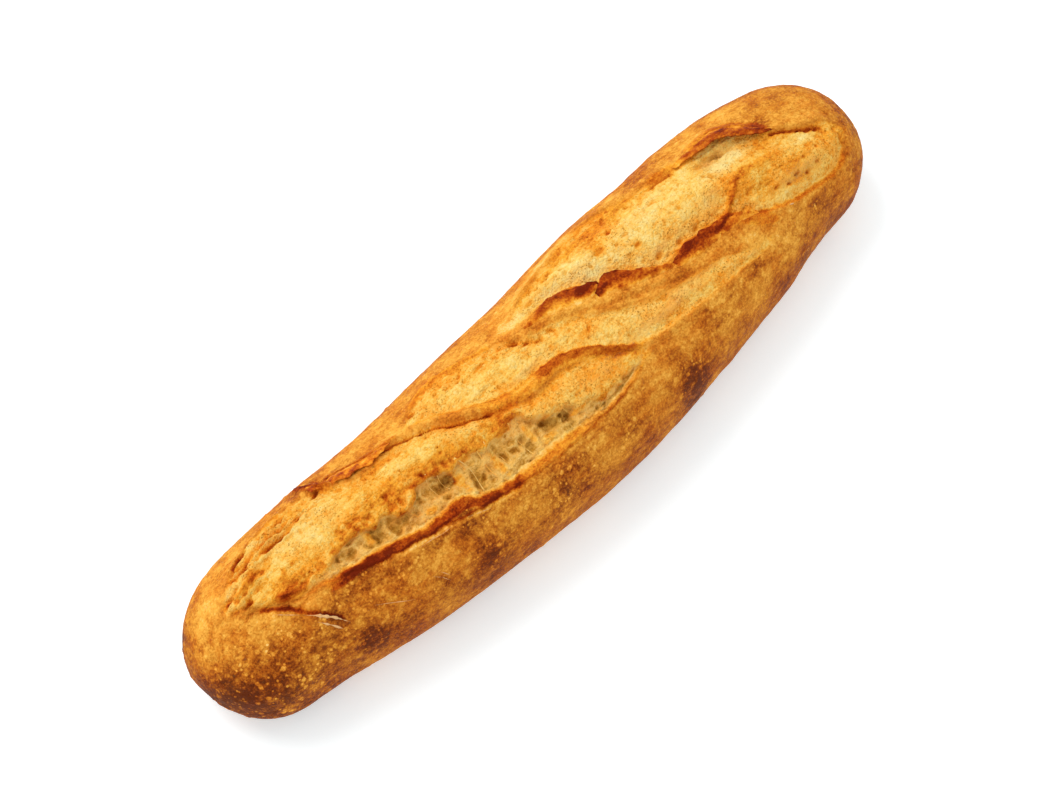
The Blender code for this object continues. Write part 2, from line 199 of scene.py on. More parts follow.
# Tones of the torn ground, in the same way: darker above 0 and paler below
TORN_TONES = [
    (-105, 8, 12, 5.5, -0.13), (-92, 12, 8, 4, -0.08), (-88, -2.5, 13, 3, 0.16), (-72, -3, 8, 3, 0.24),
    # (-121.5, -6) on the next line is a painted shadow above the end crack
    (-52, -6, 9, 2.5, 0.2), (-40, -9, 8, 2, 0.16), (-118, -4, 6, 4, 0.2), (-121.5, -6, 5, 2.4, 0.42),
    (-112, -2, 7, 3, 0.14), (-80, 5, 14, 5, 0.05), (-45, 0, 14, 5, 0.03), (-108, 18, 18, 2.4, 0.02),
    (-130, 6, 8, 4, 0.06), (-66, 7, 8, 2, 0.14), (0, -17, 16, 5, 0.06), (14, -22, 10, 4, 0.06),
    (-40, 13, 8, 4, 0.02), (-10, 2, 10, 4, -0.02), (50, -22, 26, 4, 0.02), (60, 9, 26, 8, -0.12),
    (13, 9, 6, 3, 0.12), (63, -13, 6, 2.5, 0.10), (97, -6, 7, 4, 0.06), (30, 14, 12, 6, -0.12),
    (43, 12.5, 4.5, 4.5, 0.2), (48, 24, 12, 2.5, -0.04), (104, -3, 9, 5, 0.09), (128, -11, 9, 3, 0.12),
    (-24, -8, 12, 3, 0.12), (48, 15, 8, 4, 0.10), (35, 20, 12, 3, 0.06), (2, -29, 8, 2.0, 0.34),
    (3, 15, 5, 3, -0.2), (31, 9, 4, 2.5, -0.12), (33, 4, 5, 2, -0.1), (104, 5, 8, 5, -0.12),
    (-22, -12, 10, 3, 0.12), (108, -13, 16, 5, 0.10), (82, 18, 9, 3, 0.26), (51, -12, 6, 3, -0.2),
    (53, 17, 10, 4, 0.10), (5, 19, 6, 3, 0.12), (127, -1, 6, 3, 0.16), (-8, -13, 7, 3, 0.14),
    (100, 0, 8, 3, -0.10), (36, 6, 6, 2.5, -0.18), (124, -7, 6, 3, -0.12), (140, -12, 6, 4, 0.14),
    (-38, -25, 7, 2, 0.2), (-25, 17, 8, 2.5, 0.12), (114, -16, 14, 4, 0.07), (25, 20.5, 18, 3.5, 0.08),
    (52, 20, 20, 3, 0.15), (-130, 11, 7, 4, -0.22), (-113, 17, 9, 3.5, -0.2), (120, 1.5, 8, 3, 0.14),
    (92, 0, 3, 6, 0.04), (98, -5, 4, 4, 0.2), (96, 4, 10, 3, -0.2), (112, 0, 6, 3, 0.06),
    (62, 21, 10, 2.5, 0.08),
]
# Places where the torn skin is stretched to bare grey crumb: (along, across, reaches, how much)
BARE_CRUMB = [
    (-9, -3, 6.5, 1.6, 0.75), (-38, 9, 3, 1.5, 0.2), (57, -3, 5, 2, 0.6), (68, -4, 5, 2, 0.4),
    (84, -3, 6, 3.6, 0.45), (118, -16, 13, 3.2, 0.5), (99, 8.8, 8, 2.4, 0.95), (12, 15.5, 4, 1.2, 0.35),
    (45, -20.5, 28, 2.6, 0.55), (83, -26.5, 6, 1, 0.5), (-135, 5.5, 4, 1.2, 0.4), (12, -28, 10, 1, 0.5),
    (-108, -9.5, 5, 1.6, 0.5), (10, -21, 14, 3.5, 0.3), (-48, -14, 3, 3, 0.3),
]
# Golden walls left standing between the pockets of crumb: (along, across, reach along, reach across)
WALLS = [
    (-65, -16.5, 3, 1.6), (-51.2, -14, 2.0, 6.5), (-45, -10.5, 3, 2.2), (-37.5, -20, 1.8, 6),
    (-29, -13, 4, 1.6), (-22.8, -19, 1.5, 5), (-18, -25.5, 5, 1.8), (-13, -18.5, 3.5, 1.6),
    (-87, -9, 1.6, 3), (-4, -25, 3, 1.6), (5, -27.5, 2, 1.4),
]
# Toasted bands beside a line: (line, from along, to along, from off, to off, how much darker)
TOASTED_EDGES = [
    (LOWER_INNER, -110, -34, -4.4, -0.6, 0.26), (LOWER_INNER, -40, -4, -3.4, -0.6, 0.14),
    (LOWER_INNER, -106, -56, -4.4, -1.2, 0.10), (LOWER_INNER, -101, -87, -3.6, -1.0, 0.16),
    (LOWER_INNER, -100, 22, -0.9, 1.1, -0.14), (LOWER_CREST, -104, 26, -0.5, 0.4, 0.16),
    # The two paler bands just inside the lower crest are a painted highlight along the lip's edge
    (LOWER_CREST, -86, -36, -1.7, -0.7, -0.3), (LOWER_CREST, -42, 26, -1.5, -0.8, -0.10),
    (LOWER_RIM, -104, -20, -0.6, 1.6, 0.16), (MIDDLE_NEAR, -32, 30, -4.8, 0.4, 0.08),
    (MIDDLE_NEAR, -9, 28, -3.4, 0.3, 0.22), (MIDDLE_NEAR, -50, 34, -0.6, 0.5, 0.12),
    (MIDDLE_FAR, -46, -8, -0.6, 1.6, 0.05), (UPPER_NEAR, 14, 40, -5.5, 0.2, 0.2),
    (UPPER_NEAR, 38, 58, -3, 0.2, 0.2), (UPPER_NEAR, 58, 100, -5, 0.2, 0.24),
    (UPPER_NEAR, 84, 138, -0.9, 0.4, 0.18), (UPPER_FAR, 74, 96, -1.0, 1.8, 0.10),
    (UPPER_FAR, 92, 122, 0.5, 5, 0.18),
]

# Ears of crust curled up along a slash: the line each grows from, the line its edge follows, how far it
# stands up, how thick it is, and how baked it is at its root and at the start, middle and end of its edge
EARS = [
    dict(base=[(3, 7.6), (8, 5.8), (13, 3.8), (18, 1.6), (23, -0.4), (28, -1.0), (33, 0.0)],
         edge=[(3, 8.8), (8, 8.8), (13, 9.4), (19, 8.8), (24, 6.8), (27, 5.6), (30, 4.6), (33, 2.6)],
         rise=1.5, thick=0.7, tones=(0.40, 0.58, 0.86, 0.98)),
    dict(base=[(29, -3.2), (34, -5.6), (40, -8.6), (45, -9.6), (50, -11.2), (57, -12.6)],
         edge=[(29, 0), (32, 1.0), (35, 1.5), (38, 1.0), (42, -1.8), (47, -5), (51, -8), (57, -11.2)],
         rise=1.6, thick=0.7, tones=(0.36, 0.92, 0.92, 0.52)),
    dict(base=[(55, -13.4), (60, -15), (66, -16.2), (75, -16.4), (84, -16.6), (94, -18.6)],
         edge=[(55, -11.2), (60, -9.2), (66, -8.6), (73, -9.6), (80, -10.8), (87, -13.4), (94, -17)],
         rise=1.3, thick=0.7, tones=(0.42, 0.86, 0.94, 0.5)),
    dict(base=[(86, 20), (94, 19), (100, 18.8), (106, 17.4), (110, 15), (114, 11.4), (118, 7), (121, 4.2)],
         edge=[(86, 15), (94, 13), (100, 12.4), (104, 11.4), (108, 8.8), (112, 6), (116, 3.6), (121, 1.6)],
         rise=0.9, thick=0.9, tones=(0.46, 0.6, 0.78, 0.95)),
    dict(base=[(-88, 22), (-82, 19.4), (-75, 17), (-68, 14.6), (-58, 12)],
         edge=[(-88, 16.6), (-83, 14.4), (-77, 11.8), (-70, 10.2), (-58, 9.6)],
         rise=0.9, thick=0.7, tones=(0.46, 0.82, 0.70, 0.58)),
]
# Valleys that strands of crumb cross: (line on one side, line on the other, from, to, how many). With no
# other line they hang under the hooded edge, starting HOOD_SET before the line and spanning HOOD_SPAN.
STRANDS = [(LOWER_INNER, LOWER_RIM, -70, 0, 9), (UPPER_FAR, None, 93, 107, 8)]
HOOD_SET, HOOD_SPAN = 6.5, 6.0
# Traces of flour on the crust: (places, breadth)
FLOUR_TRACES = [
    ([(-120, -13.2), (-116.5, -16.6), (-113, -20.4), (-109.5, -25.6)], 1.05),
    ([(-127, -6.5), (-124, -9.5), (-121, -12.3)], 0.28), ([(-118, -18), (-115, -22), (-112.5, -26)], 0.8),
    ([(-100, -27), (-95, -30.5), (-88, -35.5)], 0.22),
    ([(-79, -33.5), (-76.5, -36), (-74.5, -39.5)], 0.2), ([(-76, -34), (-74, -37)], 0.18),
    ([(-77, -22.6), (-72, -23.4), (-68, -24.4), (-62, -24.8)], 0.22),
    ([(-58, -26), (-54, -27.5), (-50, -29)], 0.2), ([(105, -23), (107, -23.8)], 0.4),
]

# The extra pieces: how finely they are drawn, and how far round an ear curls
EAR_STEP, EAR_LINES, EAR_CURL = 0.3, 15, 1.75
THREAD_SIDES, STRAND_POINTS, FLOUR_STEP = 7, 12, 0.25
# A torn value well outside every slash, and the lengths over which the relief fades out
FAR_OUTSIDE, REST_FADE, TIP_FADE, DUST_FADE = -9, 5, 0.5, 3

# The stage, in metres and degrees
LIGHT_PLACE, LIGHT_SIZE = (-0.25, 0.95, 1.35), 1.2
CAMERA_AZIMUTH, CAMERA_ELEVATION = -46, 63
CAMERA_AIM = (-0.0035, 0.0078, 0.0216)
LENS, SENSOR = 120, 36
FLOOR_REACH, FLOOR_DROP = 3.0, 0.2 * MM
FLOOR_LIGHT = (0.8, 1.0, 1.05)


def smooth_line(points, along):
    """A smooth curve through given points: the distance across, and its slope, at each along."""
    x, y = np.array(points, float).T
    slopes = np.gradient(y, x)
    i = np.clip(np.searchsorted(x, along) - 1, 0, len(x) - 2)
    step = x[i + 1] - x[i]
    t = np.clip((along - x[i]) / step, 0, 1)
    hold, glide, land = 2 * t**3 - 3 * t**2, t**3 - 2 * t**2 + t, t**3 - t**2
    across = y[i] * (1 + hold) - y[i + 1] * hold + step * (slopes[i] * glide + slopes[i + 1] * land)
    slope = ((6 * t**2 - 6 * t) * (y[i] - y[i + 1]) / step
             + slopes[i] * (3 * t**2 - 4 * t + 1) + slopes[i + 1] * (3 * t**2 - 2 * t))
    return across, np.where((along < x[0]) | (along > x[-1]), 0, slope)


def ease(t):
    """0 to 1 with soft ends."""
    t = np.clip(t, 0, 1)
    return t * t * (3 - 2 * t)


def bell(distance, reach):
    """1 at no distance, fading to nothing."""
    return np.exp(-(distance / reach)**2)


def mix(a, b, share):
    return a + (b - a) * share


def between(along, start, end, soft):
    """1 between two distances along, fading over a soft length at each end."""
    return ease((along - start) / soft) * ease((end - along) / soft)


def unit(vectors):
    return vectors / np.maximum(np.linalg.norm(vectors, axis=-1, keepdims=True), 1e-9)


def chance(cell, seed):
    """An even random number from 0 to 1 for each whole-numbered cell of space."""
    n = cell[..., 0] * 73856093 ^ cell[..., 1] * 19349663 ^ cell[..., 2] * 83492791 ^ seed * 40503
    n = ((n ^ (n >> 13)) * 1274126177) & 0xFFFFFFFF
    n = ((n ^ (n >> 15)) * 2246822519) & 0xFFFFFFFF
    return ((n ^ (n >> 16)) & 0xFFFFFF) / 0xFFFFFF


def grain(places, size, seed=0, octaves=1):
    """Smooth noise from -1 to 1 with lumps of about this size; each octave adds finer lumps."""
    total, strength = 0, 0
    for octave in range(octaves):
        scaled = places / size * 2**octave
        cell = np.floor(scaled).astype(np.int64)
        t = ease(scaled - cell)
        lumps = 0
        for corner in itertools.product((0, 1), repeat=3):
            share = np.prod(np.where(np.array(corner) == 1, t, 1 - t), axis=-1)
            lumps = lumps + share * chance(cell + corner, seed + octave)
        total = total + (2 * lumps - 1) / 2**octave
        strength += 1 / 2**octave
    return total / strength


def bubbles(places, size, seed=0):
    """Scattered cells: the distance to the nearest centre, to the next one, and the cell's own chance."""
    scaled = places / size
    cell = np.floor(scaled).astype(np.int64)
    first = np.full(places.shape[:-1], 9.0)
    second, own = first.copy(), np.zeros_like(first)
    for offset in itertools.product((-1, 0, 1), repeat=3):
        there = cell + offset
        centre = there + np.stack([chance(there, seed + k) for k in range(3)], axis=-1)
        distance = np.linalg.norm(scaled - centre, axis=-1)
        nearer = distance < first
        second = np.where(nearer, first, np.minimum(second, distance))
        own = np.where(nearer, chance(there, seed + 7), own)
        first = np.where(nearer, distance, first)
    return first, second, own


def outline(along, angle):
    """The smooth loaf: (y, z) at a distance along and an angle from the crown."""
    part = along / (LENGTH / 2)
    level, top = LEVEL_SHARE * HEIGHT, CROWN_SHARE * HEIGHT
    near, far = NEAR_SHARE * WIDTH, FAR_SHARE * WIDTH

    def tip(radius):
        inset = np.clip((LENGTH / 2 - np.abs(along)) / radius, 0, 1)
        return (1 - (1 - inset)**TIP_POWER)**(1 / TIP_POWER)

    def swell(places):
        return sum(amount * bell(along - at, reach) for at, reach, amount in places)

    full = tip(FAR_TIP_RADIUS)
    near = (near - NEAR_TAPER * np.abs(part)**TAPER_POWER + swell(NEAR_SWELLS)) * tip(NEAR_TIP_RADIUS)
    far = (far + FAR_DRIFT * part - FAR_TAPER * part**4 + swell(FAR_SWELLS)) * full
    crown = level + (top * (1 - CROWN_DROP * part**2) - level) * full
    under = level * (1 - full) - BASE_PRESS * full
    side, up = np.sin(angle), np.cos(angle)
    upper = up >= 0
    reach = np.where(side < 0, near, far) * np.sign(side)
    middle = CROWN_SET + TIP_BEND * part**2 - SWING * ease((along - SWING_START) / SWING_LENGTH)
    y = middle + reach * np.abs(side)**np.where(upper, SHOULDER, BELLY)
    z = np.where(upper, level + (crown - level) * np.abs(up)**CROWN_ROUND,
                 level - (level - under) * np.abs(up)**BELLY)
    return y, np.maximum(z, 0)


def line_spacing(along, across):
    """Millimetres between lines: finest inside the slashes and on their lips, wide underneath."""
    spacing = np.interp(across, [-95, -75, -62, -40, 38, 50, 70], [3.2, 2.6, 1.5, 1.0, 1.2, 2.4, 3.2])
    for near, far in ((LOWER_CREST, LOWER_FAR), (MIDDLE_NEAR, MIDDLE_FAR), (UPPER_NEAR, UPPER_FAR)):
        low, high = (smooth_line(line, np.array(along))[0] for line in (near, far))
        beyond = np.maximum(low - 3 - across, across - high - 2)
        opened = ease((high - low) / 4)
        spacing = mix(spacing, 0.42, opened * ease(1 - beyond / 5))
    return spacing


class Skin:
    """A grid of places on the smooth loaf, a row for each station and a column for each line round it."""

    def __init__(self, stations, lines):
        fine = -LENGTH / 2 * np.cos(np.linspace(0, np.pi, OUTLINE_STEPS))
        crown = outline(fine, np.zeros(OUTLINE_STEPS))[1]
        travelled = np.concatenate([[0], np.cumsum(np.hypot(np.diff(fine), np.diff(crown)))])
        places = np.interp(np.linspace(0, travelled[-1], stations + 2), travelled, fine)[1:-1]
        rings = [self.ring(along, lines) for along in places]
        self.across = np.array([ring[0] for ring in rings])
        self.along = np.repeat(places[:, None], lines, axis=1)
        self.points = np.stack([self.along, [r[1] for r in rings], [r[2] for r in rings]], axis=-1)
        self.tips = np.array([(end, *(v[0] for v in outline(np.array([end]), np.zeros(1))))
                              for end in (-LENGTH / 2, LENGTH / 2)])
        self.forward = unit(np.gradient(self.points, axis=0))
        self.sideways = unit(np.roll(self.points, -1, axis=1) - np.roll(self.points, 1, axis=1))
        self.outward = unit(np.cross(self.forward, self.sideways))

    def ring(self, along, lines):
        """One section: where its lines lie across the skin, closer where there is more detail."""
        angle = np.linspace(-np.pi, np.pi, OUTLINE_STEPS)
        y, z = outline(np.full(OUTLINE_STEPS, along), angle)
        across = np.concatenate([[0], np.cumsum(np.hypot(np.diff(y), np.diff(z)))])
        across -= across[OUTLINE_STEPS // 2]
        weight = 1 / line_spacing(along, across)
        share = np.concatenate([[0], np.cumsum((weight[1:] + weight[:-1]) / 2 * np.diff(across))])
        columns = np.interp(np.arange(lines) / lines * share[-1], share, across)
        return columns, np.interp(columns, across, y), np.interp(columns, across, z)


def profile(across, knots):
    """A height that eases from knot to knot; each knot is (distance across, height)."""
    height = knots[0][1] + 0 * across
    for (low, start), (high, end) in zip(knots, knots[1:]):
        t = ease((across - low) / np.maximum(high - low, 0.05))
        height = height + (end - start) * t
    return height


class Crust:
    """Everything that is drawn on the smooth skin: its relief and the masks that its finish reads."""

    # Torn is how far inside a slash a place is, in millimetres, and below 0 outside. The others run from
    # about 0 to 1: open crumb, how baked together with painted shade and highlight, toasted red, golden
    # walls, painted shade in pits and pores, blisters, how crowded those are, and flour
    MASKS = ("torn", "crumb", "bake", "toasted", "web", "pit_shade", "blister", "crowd", "flour")

    def __init__(self, skin, sizes):
        self.skin, self.sizes = skin, sizes
        p = skin.points
        self.x = skin.along + 0.8 * grain(p, 6.0, 11, 3) + 0.45 * grain(p, 1.7, 15, 2)
        self.c = skin.across + 0.7 * grain(p, 5.0, 21, 3) + 0.45 * grain(p, 1.7, 25, 2)
        blank = np.zeros_like(self.x)
        self.height, self.lean = blank.copy(), blank.copy()
        for name in self.MASKS:
            setattr(self, name, blank.copy())
        self.torn += FAR_OUTSIDE

    def at_least(self, name, mark):
        """Raises a mask to this mark wherever it is lower."""
        setattr(self, name, np.maximum(getattr(self, name), mark))

    def varying(self, places, values):
        """A value that changes evenly from place to place along the loaf."""
        return np.interp(self.x, places, values)

    def line(self, points):
        """Where a line on the skin lies across, at each place along."""
        return smooth_line(points, self.x)[0]

    def off(self, points):
        """Distance in millimetres from a line on the skin, positive on its +Y side."""
        across, slope = smooth_line(points, self.x)
        return (self.c - across) / np.sqrt(1 + slope**2)

    def spot(self, along, across, reach_along, reach_across):
        """A soft round mark, 1 in its middle."""
        return bell(np.hypot((self.x - along) / reach_along, (self.c - across) / reach_across), 1)

    def stroke(self, points, reach, fade=3.0):
        """A soft line through these places, 1 in its middle and fading towards its two ends."""
        mark = np.zeros_like(self.x)
        x, c = np.array(points, float).T
        far = 3 * reach
        there = ((self.x > x.min() - far) & (self.x < x.max() + far)
                 & (self.c > c.min() - far) & (self.c < c.max() + far))
        along, across = self.x[there], self.c[there]
        nearest, place, travelled = np.full(along.shape, 99.0), np.zeros_like(along), 0.0
        for i in range(len(points) - 1):
            step = np.array([x[i + 1] - x[i], c[i + 1] - c[i]])
            span = np.hypot(*step)
            t = np.clip(((along - x[i]) * step[0] + (across - c[i]) * step[1]) / span**2, 0, 1)
            distance = np.hypot(along - x[i] - t * step[0], across - c[i] - t * step[1])
            place = np.where(distance < nearest, travelled + t * span, place)
            nearest = np.minimum(distance, nearest)
            travelled += span
        mark[there] = bell(nearest, reach) * between(place, -0.5, travelled + 0.5, min(fade, travelled / 2))
        return mark

    def open_slash(self, near, far):
        """Marks the torn ground between two edges, and returns how fully the slash is open."""
        start, end = near[0][0], near[-1][0]
        inside = np.minimum(self.off(near), -self.off(far))
        inside = np.where((self.x < start) | (self.x > end), FAR_OUTSIDE, inside)
        self.at_least("torn", inside)
        width = self.line(far) - self.line(near)
        return np.where((self.x > start) & (self.x < end), ease(width / 12), 0)

    def lower_slash(self):
        """The long slash: a raised lip, a valley of open crumb behind it and the torn bloom beyond."""
        opened = self.open_slash(LOWER_INNER, LOWER_FAR)
        crest, inner, rim, far = map(self.line, (LOWER_CREST, LOWER_INNER, LOWER_RIM, LOWER_FAR))
        inner = inner + 1.1 * grain(self.skin.points, 2.2, 51, 3)
        rim = rim + 1.7 * grain(self.skin.points, 3.2, 53, 4)
        lip = self.sizes.lip / MM * self.varying([-137, -112, -95, -60, 0, 29], [0.1, 0.3, 1, 1, 0.8, 0.3])
        gape = self.sizes.gape / MM * self.varying([-112, -98, -70, -20, 10, 27], [0, 0.8, 1, 1, 0.6, 0.2])
        bloom = 2.0 * self.varying([-137, -110, -60, -25, 10, 29], [0.4, 1, 1, 0.6, 0.3, 0])
        overhang = 0.9 * self.varying([-110, -95, -60, -20, 0], [0, 1, 1, 0.8, 0])
        knots = [(crest - 6, 0), (crest - 2.1, 0.6 * lip), (crest - 1.2, 0.8 * lip),
                 (crest - 0.5, 0.55 * lip), (crest + 0.4, lip), (inner - 0.2, -0.6),
                 (inner + 0.7, -gape * 0.7), (mix(inner, rim, 0.5), -gape), (rim - 1.6, -gape * 0.85),
                 (rim + 1.0, 0.8 + 0.2 * bloom), ((rim + far) / 2, bloom), (far - 0.7, -0.5),
                 (far + 1.4, 0.5), (far + 6, 0)]
        self.height += opened * profile(self.c, knots)
        fringe = bell(self.c - inner - 0.2, 0.9) * between(self.x, -104, 20, 6)
        self.height += opened * fringe * 0.9 * grain(self.skin.points, 1.7, 55, 2)
        self.lean += opened * 0.4 * lip * bell(self.c - crest, 1.6)
        self.lean -= opened * overhang * bell(self.c - rim - 0.6, 1.2)
        frayed = 1.4 * grain(self.skin.points, 2.8, 67, 3)
        valley = ease((self.c - inner) / 0.8) * ease((rim + 1.0 + frayed - self.c) / 3.0)
        golden = bell(self.c - rim + 0.6 + frayed, 1.8) * between(self.x, -108, 20, 6)
        walls = valley * ease(1.6 * grain(self.skin.points * [1, 0.5, 0.5], 5.5, 69, 2) - 0.1)
        self.at_least("web", 0.9 * np.maximum(golden, walls))
        self.at_least("crumb", valley * between(self.x, -108, 27, 4))

    def middle_slash(self):
        """The middle slash: a low ridge on its near side and a shallow torn floor."""
        opened = self.open_slash(MIDDLE_NEAR, MIDDLE_FAR)
        near, far = self.line(MIDDLE_NEAR), self.line(MIDDLE_FAR)
        ridge = self.varying([-49, -40, -20, 5, 30, 93], [0.6, 1, 1, 1, 0.8, 0.3])
        reach = self.varying([-10, 12, 30], [1, 0.55, 0.4])
        knots = [(near - 6 * reach, 0), (near - 2.4 * reach, ridge), (near + 1.4, -0.4),
                 (mix(near, far, 0.5), 0.1), (far - 1.2, -0.5), (far + 0.8, 0.4), (far + 5, 0)]
        self.height += opened * profile(self.c, knots)

    def upper_slash(self):
        """The far slash: a near lip, a bulge of torn dough and a hooded far edge."""
        opened = self.open_slash(UPPER_NEAR, UPPER_FAR)
        near, far = self.line(UPPER_NEAR), self.line(UPPER_FAR)
        lip = self.varying([0, 12, 50, 54, 62, 85, 100, 143], [0.3, 1, 1, 0.6, 1, 0.9, 0.5, 0.3])
        bulge = 1.9 * self.varying([0, 20, 90, 120, 143], [0, 1, 1, 1, 0.3])
        hood = between(self.x, 88, 120, 8)
        knots = [(near - 8, 0), (near - 1.6, lip), (near + 0.4, -1.3), (mix(near, far, 0.45), bulge),
                 (far - 3 - 2 * hood, -0.4 - 1.2 * hood), (far - 0.5, -0.4 - 0.6 * hood),
                 (far + 1.2 + 1.6 * hood, 0.7 + 0.6 * hood), (far + 7, 0)]
        self.height += opened * profile(self.c, knots)

    def folds(self):
        """Raised folds, fissures and hollows, each where the dough pulled or tore."""
        for points, reach, rise, darker in STROKES:
            mark = self.stroke(points, reach)
            self.height += rise * mark
            self.bake += darker * mark
            self.at_least("toasted", mark * min(1, 3 * abs(darker)))
            # Painted shade in the darker sunken fissures
            if rise < 0 and darker > 0.15:
                self.at_least("pit_shade", 0.5 * mark)
        uneven = 0.25 * grain(self.skin.points, 1.5, 57, 2)
        for along, across, reach_along, reach_across, depth, darker in HOLLOWS:
            mark = ease(1.5 * self.spot(along, across, reach_along, reach_across) - 0.25 + uneven)
            mark *= self.spot(along, across, 2 * reach_along, 2 * reach_across)
            self.height -= 0.8 * depth * mark
            # Painted shade darkens each hollow
            self.bake += 0.45 * darker * mark
            self.at_least("pit_shade", mark * min(1, 1.6 * max(darker, 0)))

    def toast(self):
        """How baked each place is, with painted shade on steep flanks: 0 raw and pale, 0.5 golden, 1 burnt.
        Torn ground starts paler.
        """
        p = self.skin.points
        inside = ease(self.torn / 1.2 + 0.5)
        # Painted shade: the crust is darkened where the skin turns steeply away from facing up, down the
        # flanks
        steep_shade = ease((0.8 - self.skin.outward[..., 2]) / 0.8)
        crust = 0.41 + 0.08 * grain(p, 19, 31, 3) + 0.13 * grain(p, 6, 35, 3) + 0.27 * steep_shade
        crust += 0.15 * ease((self.x - 84) / 40) * ease((self.skin.across - 2) / 14)
        left_end = ease((-108 - self.x) / 34) * ease((2 - self.c) / 20)
        crust += 0.13 * left_end + 0.08 * ease((np.abs(self.x) - 143) / 10)
        self.crowd += 0.08 + 0.75 * left_end
        for along, across, reach_along, reach_across, strength in DARK_PATCHES:
            mark = self.spot(along, across, reach_along, reach_across)
            crust += strength * mark
            self.crowd += 2.8 * strength * mark
        self.crowd = np.clip(self.crowd, 0, 1)
        torn = 0.24 + 0.09 * grain(p, 9, 41, 2) + 0.05 * grain(p, 3, 47, 2)
        torn += 0.11 * ease(1 - self.torn / 2.6) * ease(0.5 + grain(p, 4, 49, 2))
        for along, across, reach_along, reach_across, strength in TORN_TONES:
            torn += strength * self.spot(along, across, reach_along, reach_across)
        self.bake += mix(crust, torn, inside)
        uneven, ragged = 1 + 0.4 * grain(p, 4.5, 59, 3), 0.5 * grain(p, 2.0, 45, 2)
        for points, start, end, low, high, strength in TOASTED_EDGES:
            wide = high - low > 1.5
            off = self.off(points) + ragged * wide
            band = ease((off - low) / 0.8 + 0.5) * ease((high - off) / 0.8 + 0.5)
            band *= between(self.x, start, end, 4)
            self.bake += strength * band * (uneven if wide else 1)
            if strength > 0:
                self.at_least("toasted", band)
        for along, across, reach_along, reach_across, share in BARE_CRUMB:
            mark = self.spot(along, across, reach_along, reach_across) * inside
            self.at_least("crumb", share * mark)

    def open_crumb(self):
        """Cells of the open crumb, larger and smaller, with thin walls between them."""
        p = self.skin.points
        crooked = 1 + 0.8 * grain(p, 2.4, 65, 3)
        for wall in WALLS:
            standing = ease(1.3 * self.spot(*wall) * crooked)
            self.height += standing * self.crumb
            self.bake += 0.12 * standing * self.crumb
            self.crumb *= 1 - 0.85 * standing
        bare = ease(self.crumb * 1.6)
        open_here = ease(2 * self.crumb - 1)
        warp = 0.5 * grain(p, 2.8, 63, 2)[..., None]
        for size, seed, depth, wall, web in ((6.5, 61, 2.2, 0.20, 0.9), (3.2, 71, 1.1, 0.28, 0.6)):
            first, second, own = bubbles(p + warp, size, seed)
            edge = second - first
            hollow = ease(edge / 0.5) * (0.15 + 0.85 * own)
            self.height -= depth * (0.4 * bare + 0.6 * open_here) * (hollow - 0.4)
            self.at_least("web", web * bare * ease(1.2 - edge / wall))
            # Painted shade darkens the sunken cells of the crumb
            self.at_least("pit_shade", (0.3 * bare + 0.75 * open_here) * hollow)
        first, _, own = bubbles(p, 1.7, 81)
        pore = ease(1.1 - first / 0.36) * (own < 0.35)
        self.height -= 0.5 * bare * pore
        # Painted shade darkens the pores
        self.at_least("pit_shade", 0.75 * bare * pore)

    def torn_ground(self):
        """Crumpled lumps of torn dough, with creases and pinholes between them."""
        p = self.skin.points
        ground = ease(self.torn / 1.5) * (1 - ease(1.5 * self.crumb))
        rim = self.c - self.line(LOWER_RIM)
        crumbly = ground * ease(rim / 0.8) * ease((7 - rim) / 5) * between(self.x, -122, -18, 10)
        lumps, fine_lumps = grain(p, 5.5, 161, 3), grain(p, 2.2, 165, 2)
        crease = ease(1 - np.abs(grain(p, 4.2, 151, 3)) / 0.16)
        fine_crease = ease(1 - np.abs(grain(p, 1.9, 155, 2)) / 0.14)
        self.height += ground * (0.9 * lumps - 0.28 * crease - 0.14 * fine_crease)
        cells = bubbles(p + 0.4 * fine_lumps[..., None], 3.0, 95)
        comb = crumbly * ease((cells[1] - cells[0]) / 0.5) * (0.3 + 0.7 * cells[2])
        self.height += (0.15 * ground + 0.8 * crumbly) * fine_lumps - comb
        self.height += 0.5 * crumbly * grain(p, 1.3, 167, 2)
        # Painted shade in the sunken cells of the crumbly rim
        self.bake += 0.22 * comb
        # Painted shade in the creases and painted highlight on the tops of the lumps
        self.bake += ground * (0.09 * crease + 0.05 * fine_crease - 0.05 * lumps - 0.07 * fine_lumps)
        self.bake -= crumbly * (0.10 * fine_lumps + 0.14 * lumps)
        folded = ease(1.6 * bell(self.off(LOWER_FAR) + 5.2, 5.4)) * between(self.x, -138, -88, 9)
        ridge = 1 - np.abs(grain(p * [0.4, 1, 1], 2.6, 185, 3)) / 0.28
        self.height += folded * 1.5 * ridge
        # Toasted colour on the folded band, with painted shade in the grooves between its ridges
        self.bake += folded * (0.19 - 0.17 * ridge)
        self.at_least("pit_shade", 0.9 * folded * ease(-ridge))
        for size, seed, share, depth in ((3.4, 91, 0.4, 0.8), (1.8, 101, 0.45, 0.5)):
            first, _, own = bubbles(p, size, seed)
            pit = ease(1 - first / 0.34) * (own < share)
            self.height -= depth * pit * ground
            # Painted shade in the pinholes
            self.at_least("pit_shade", 0.7 * pit * ground)

    def blisters(self):
        """Small raised bubbles in the crust, pale on top."""
        p = self.skin.points
        outside = ease(-self.torn / 2) * (1 - self.toasted)
        for size, seed, rise in ((3.4, 111, 0.35), (2.2, 121, 0.22)):
            first, _, own = bubbles(p, size, seed)
            dome = ease(1 - first / 0.40) * (own < 0.05 + 0.42 * self.crowd)
            self.height += rise * dome * outside
            self.at_least("blister", dome * outside)

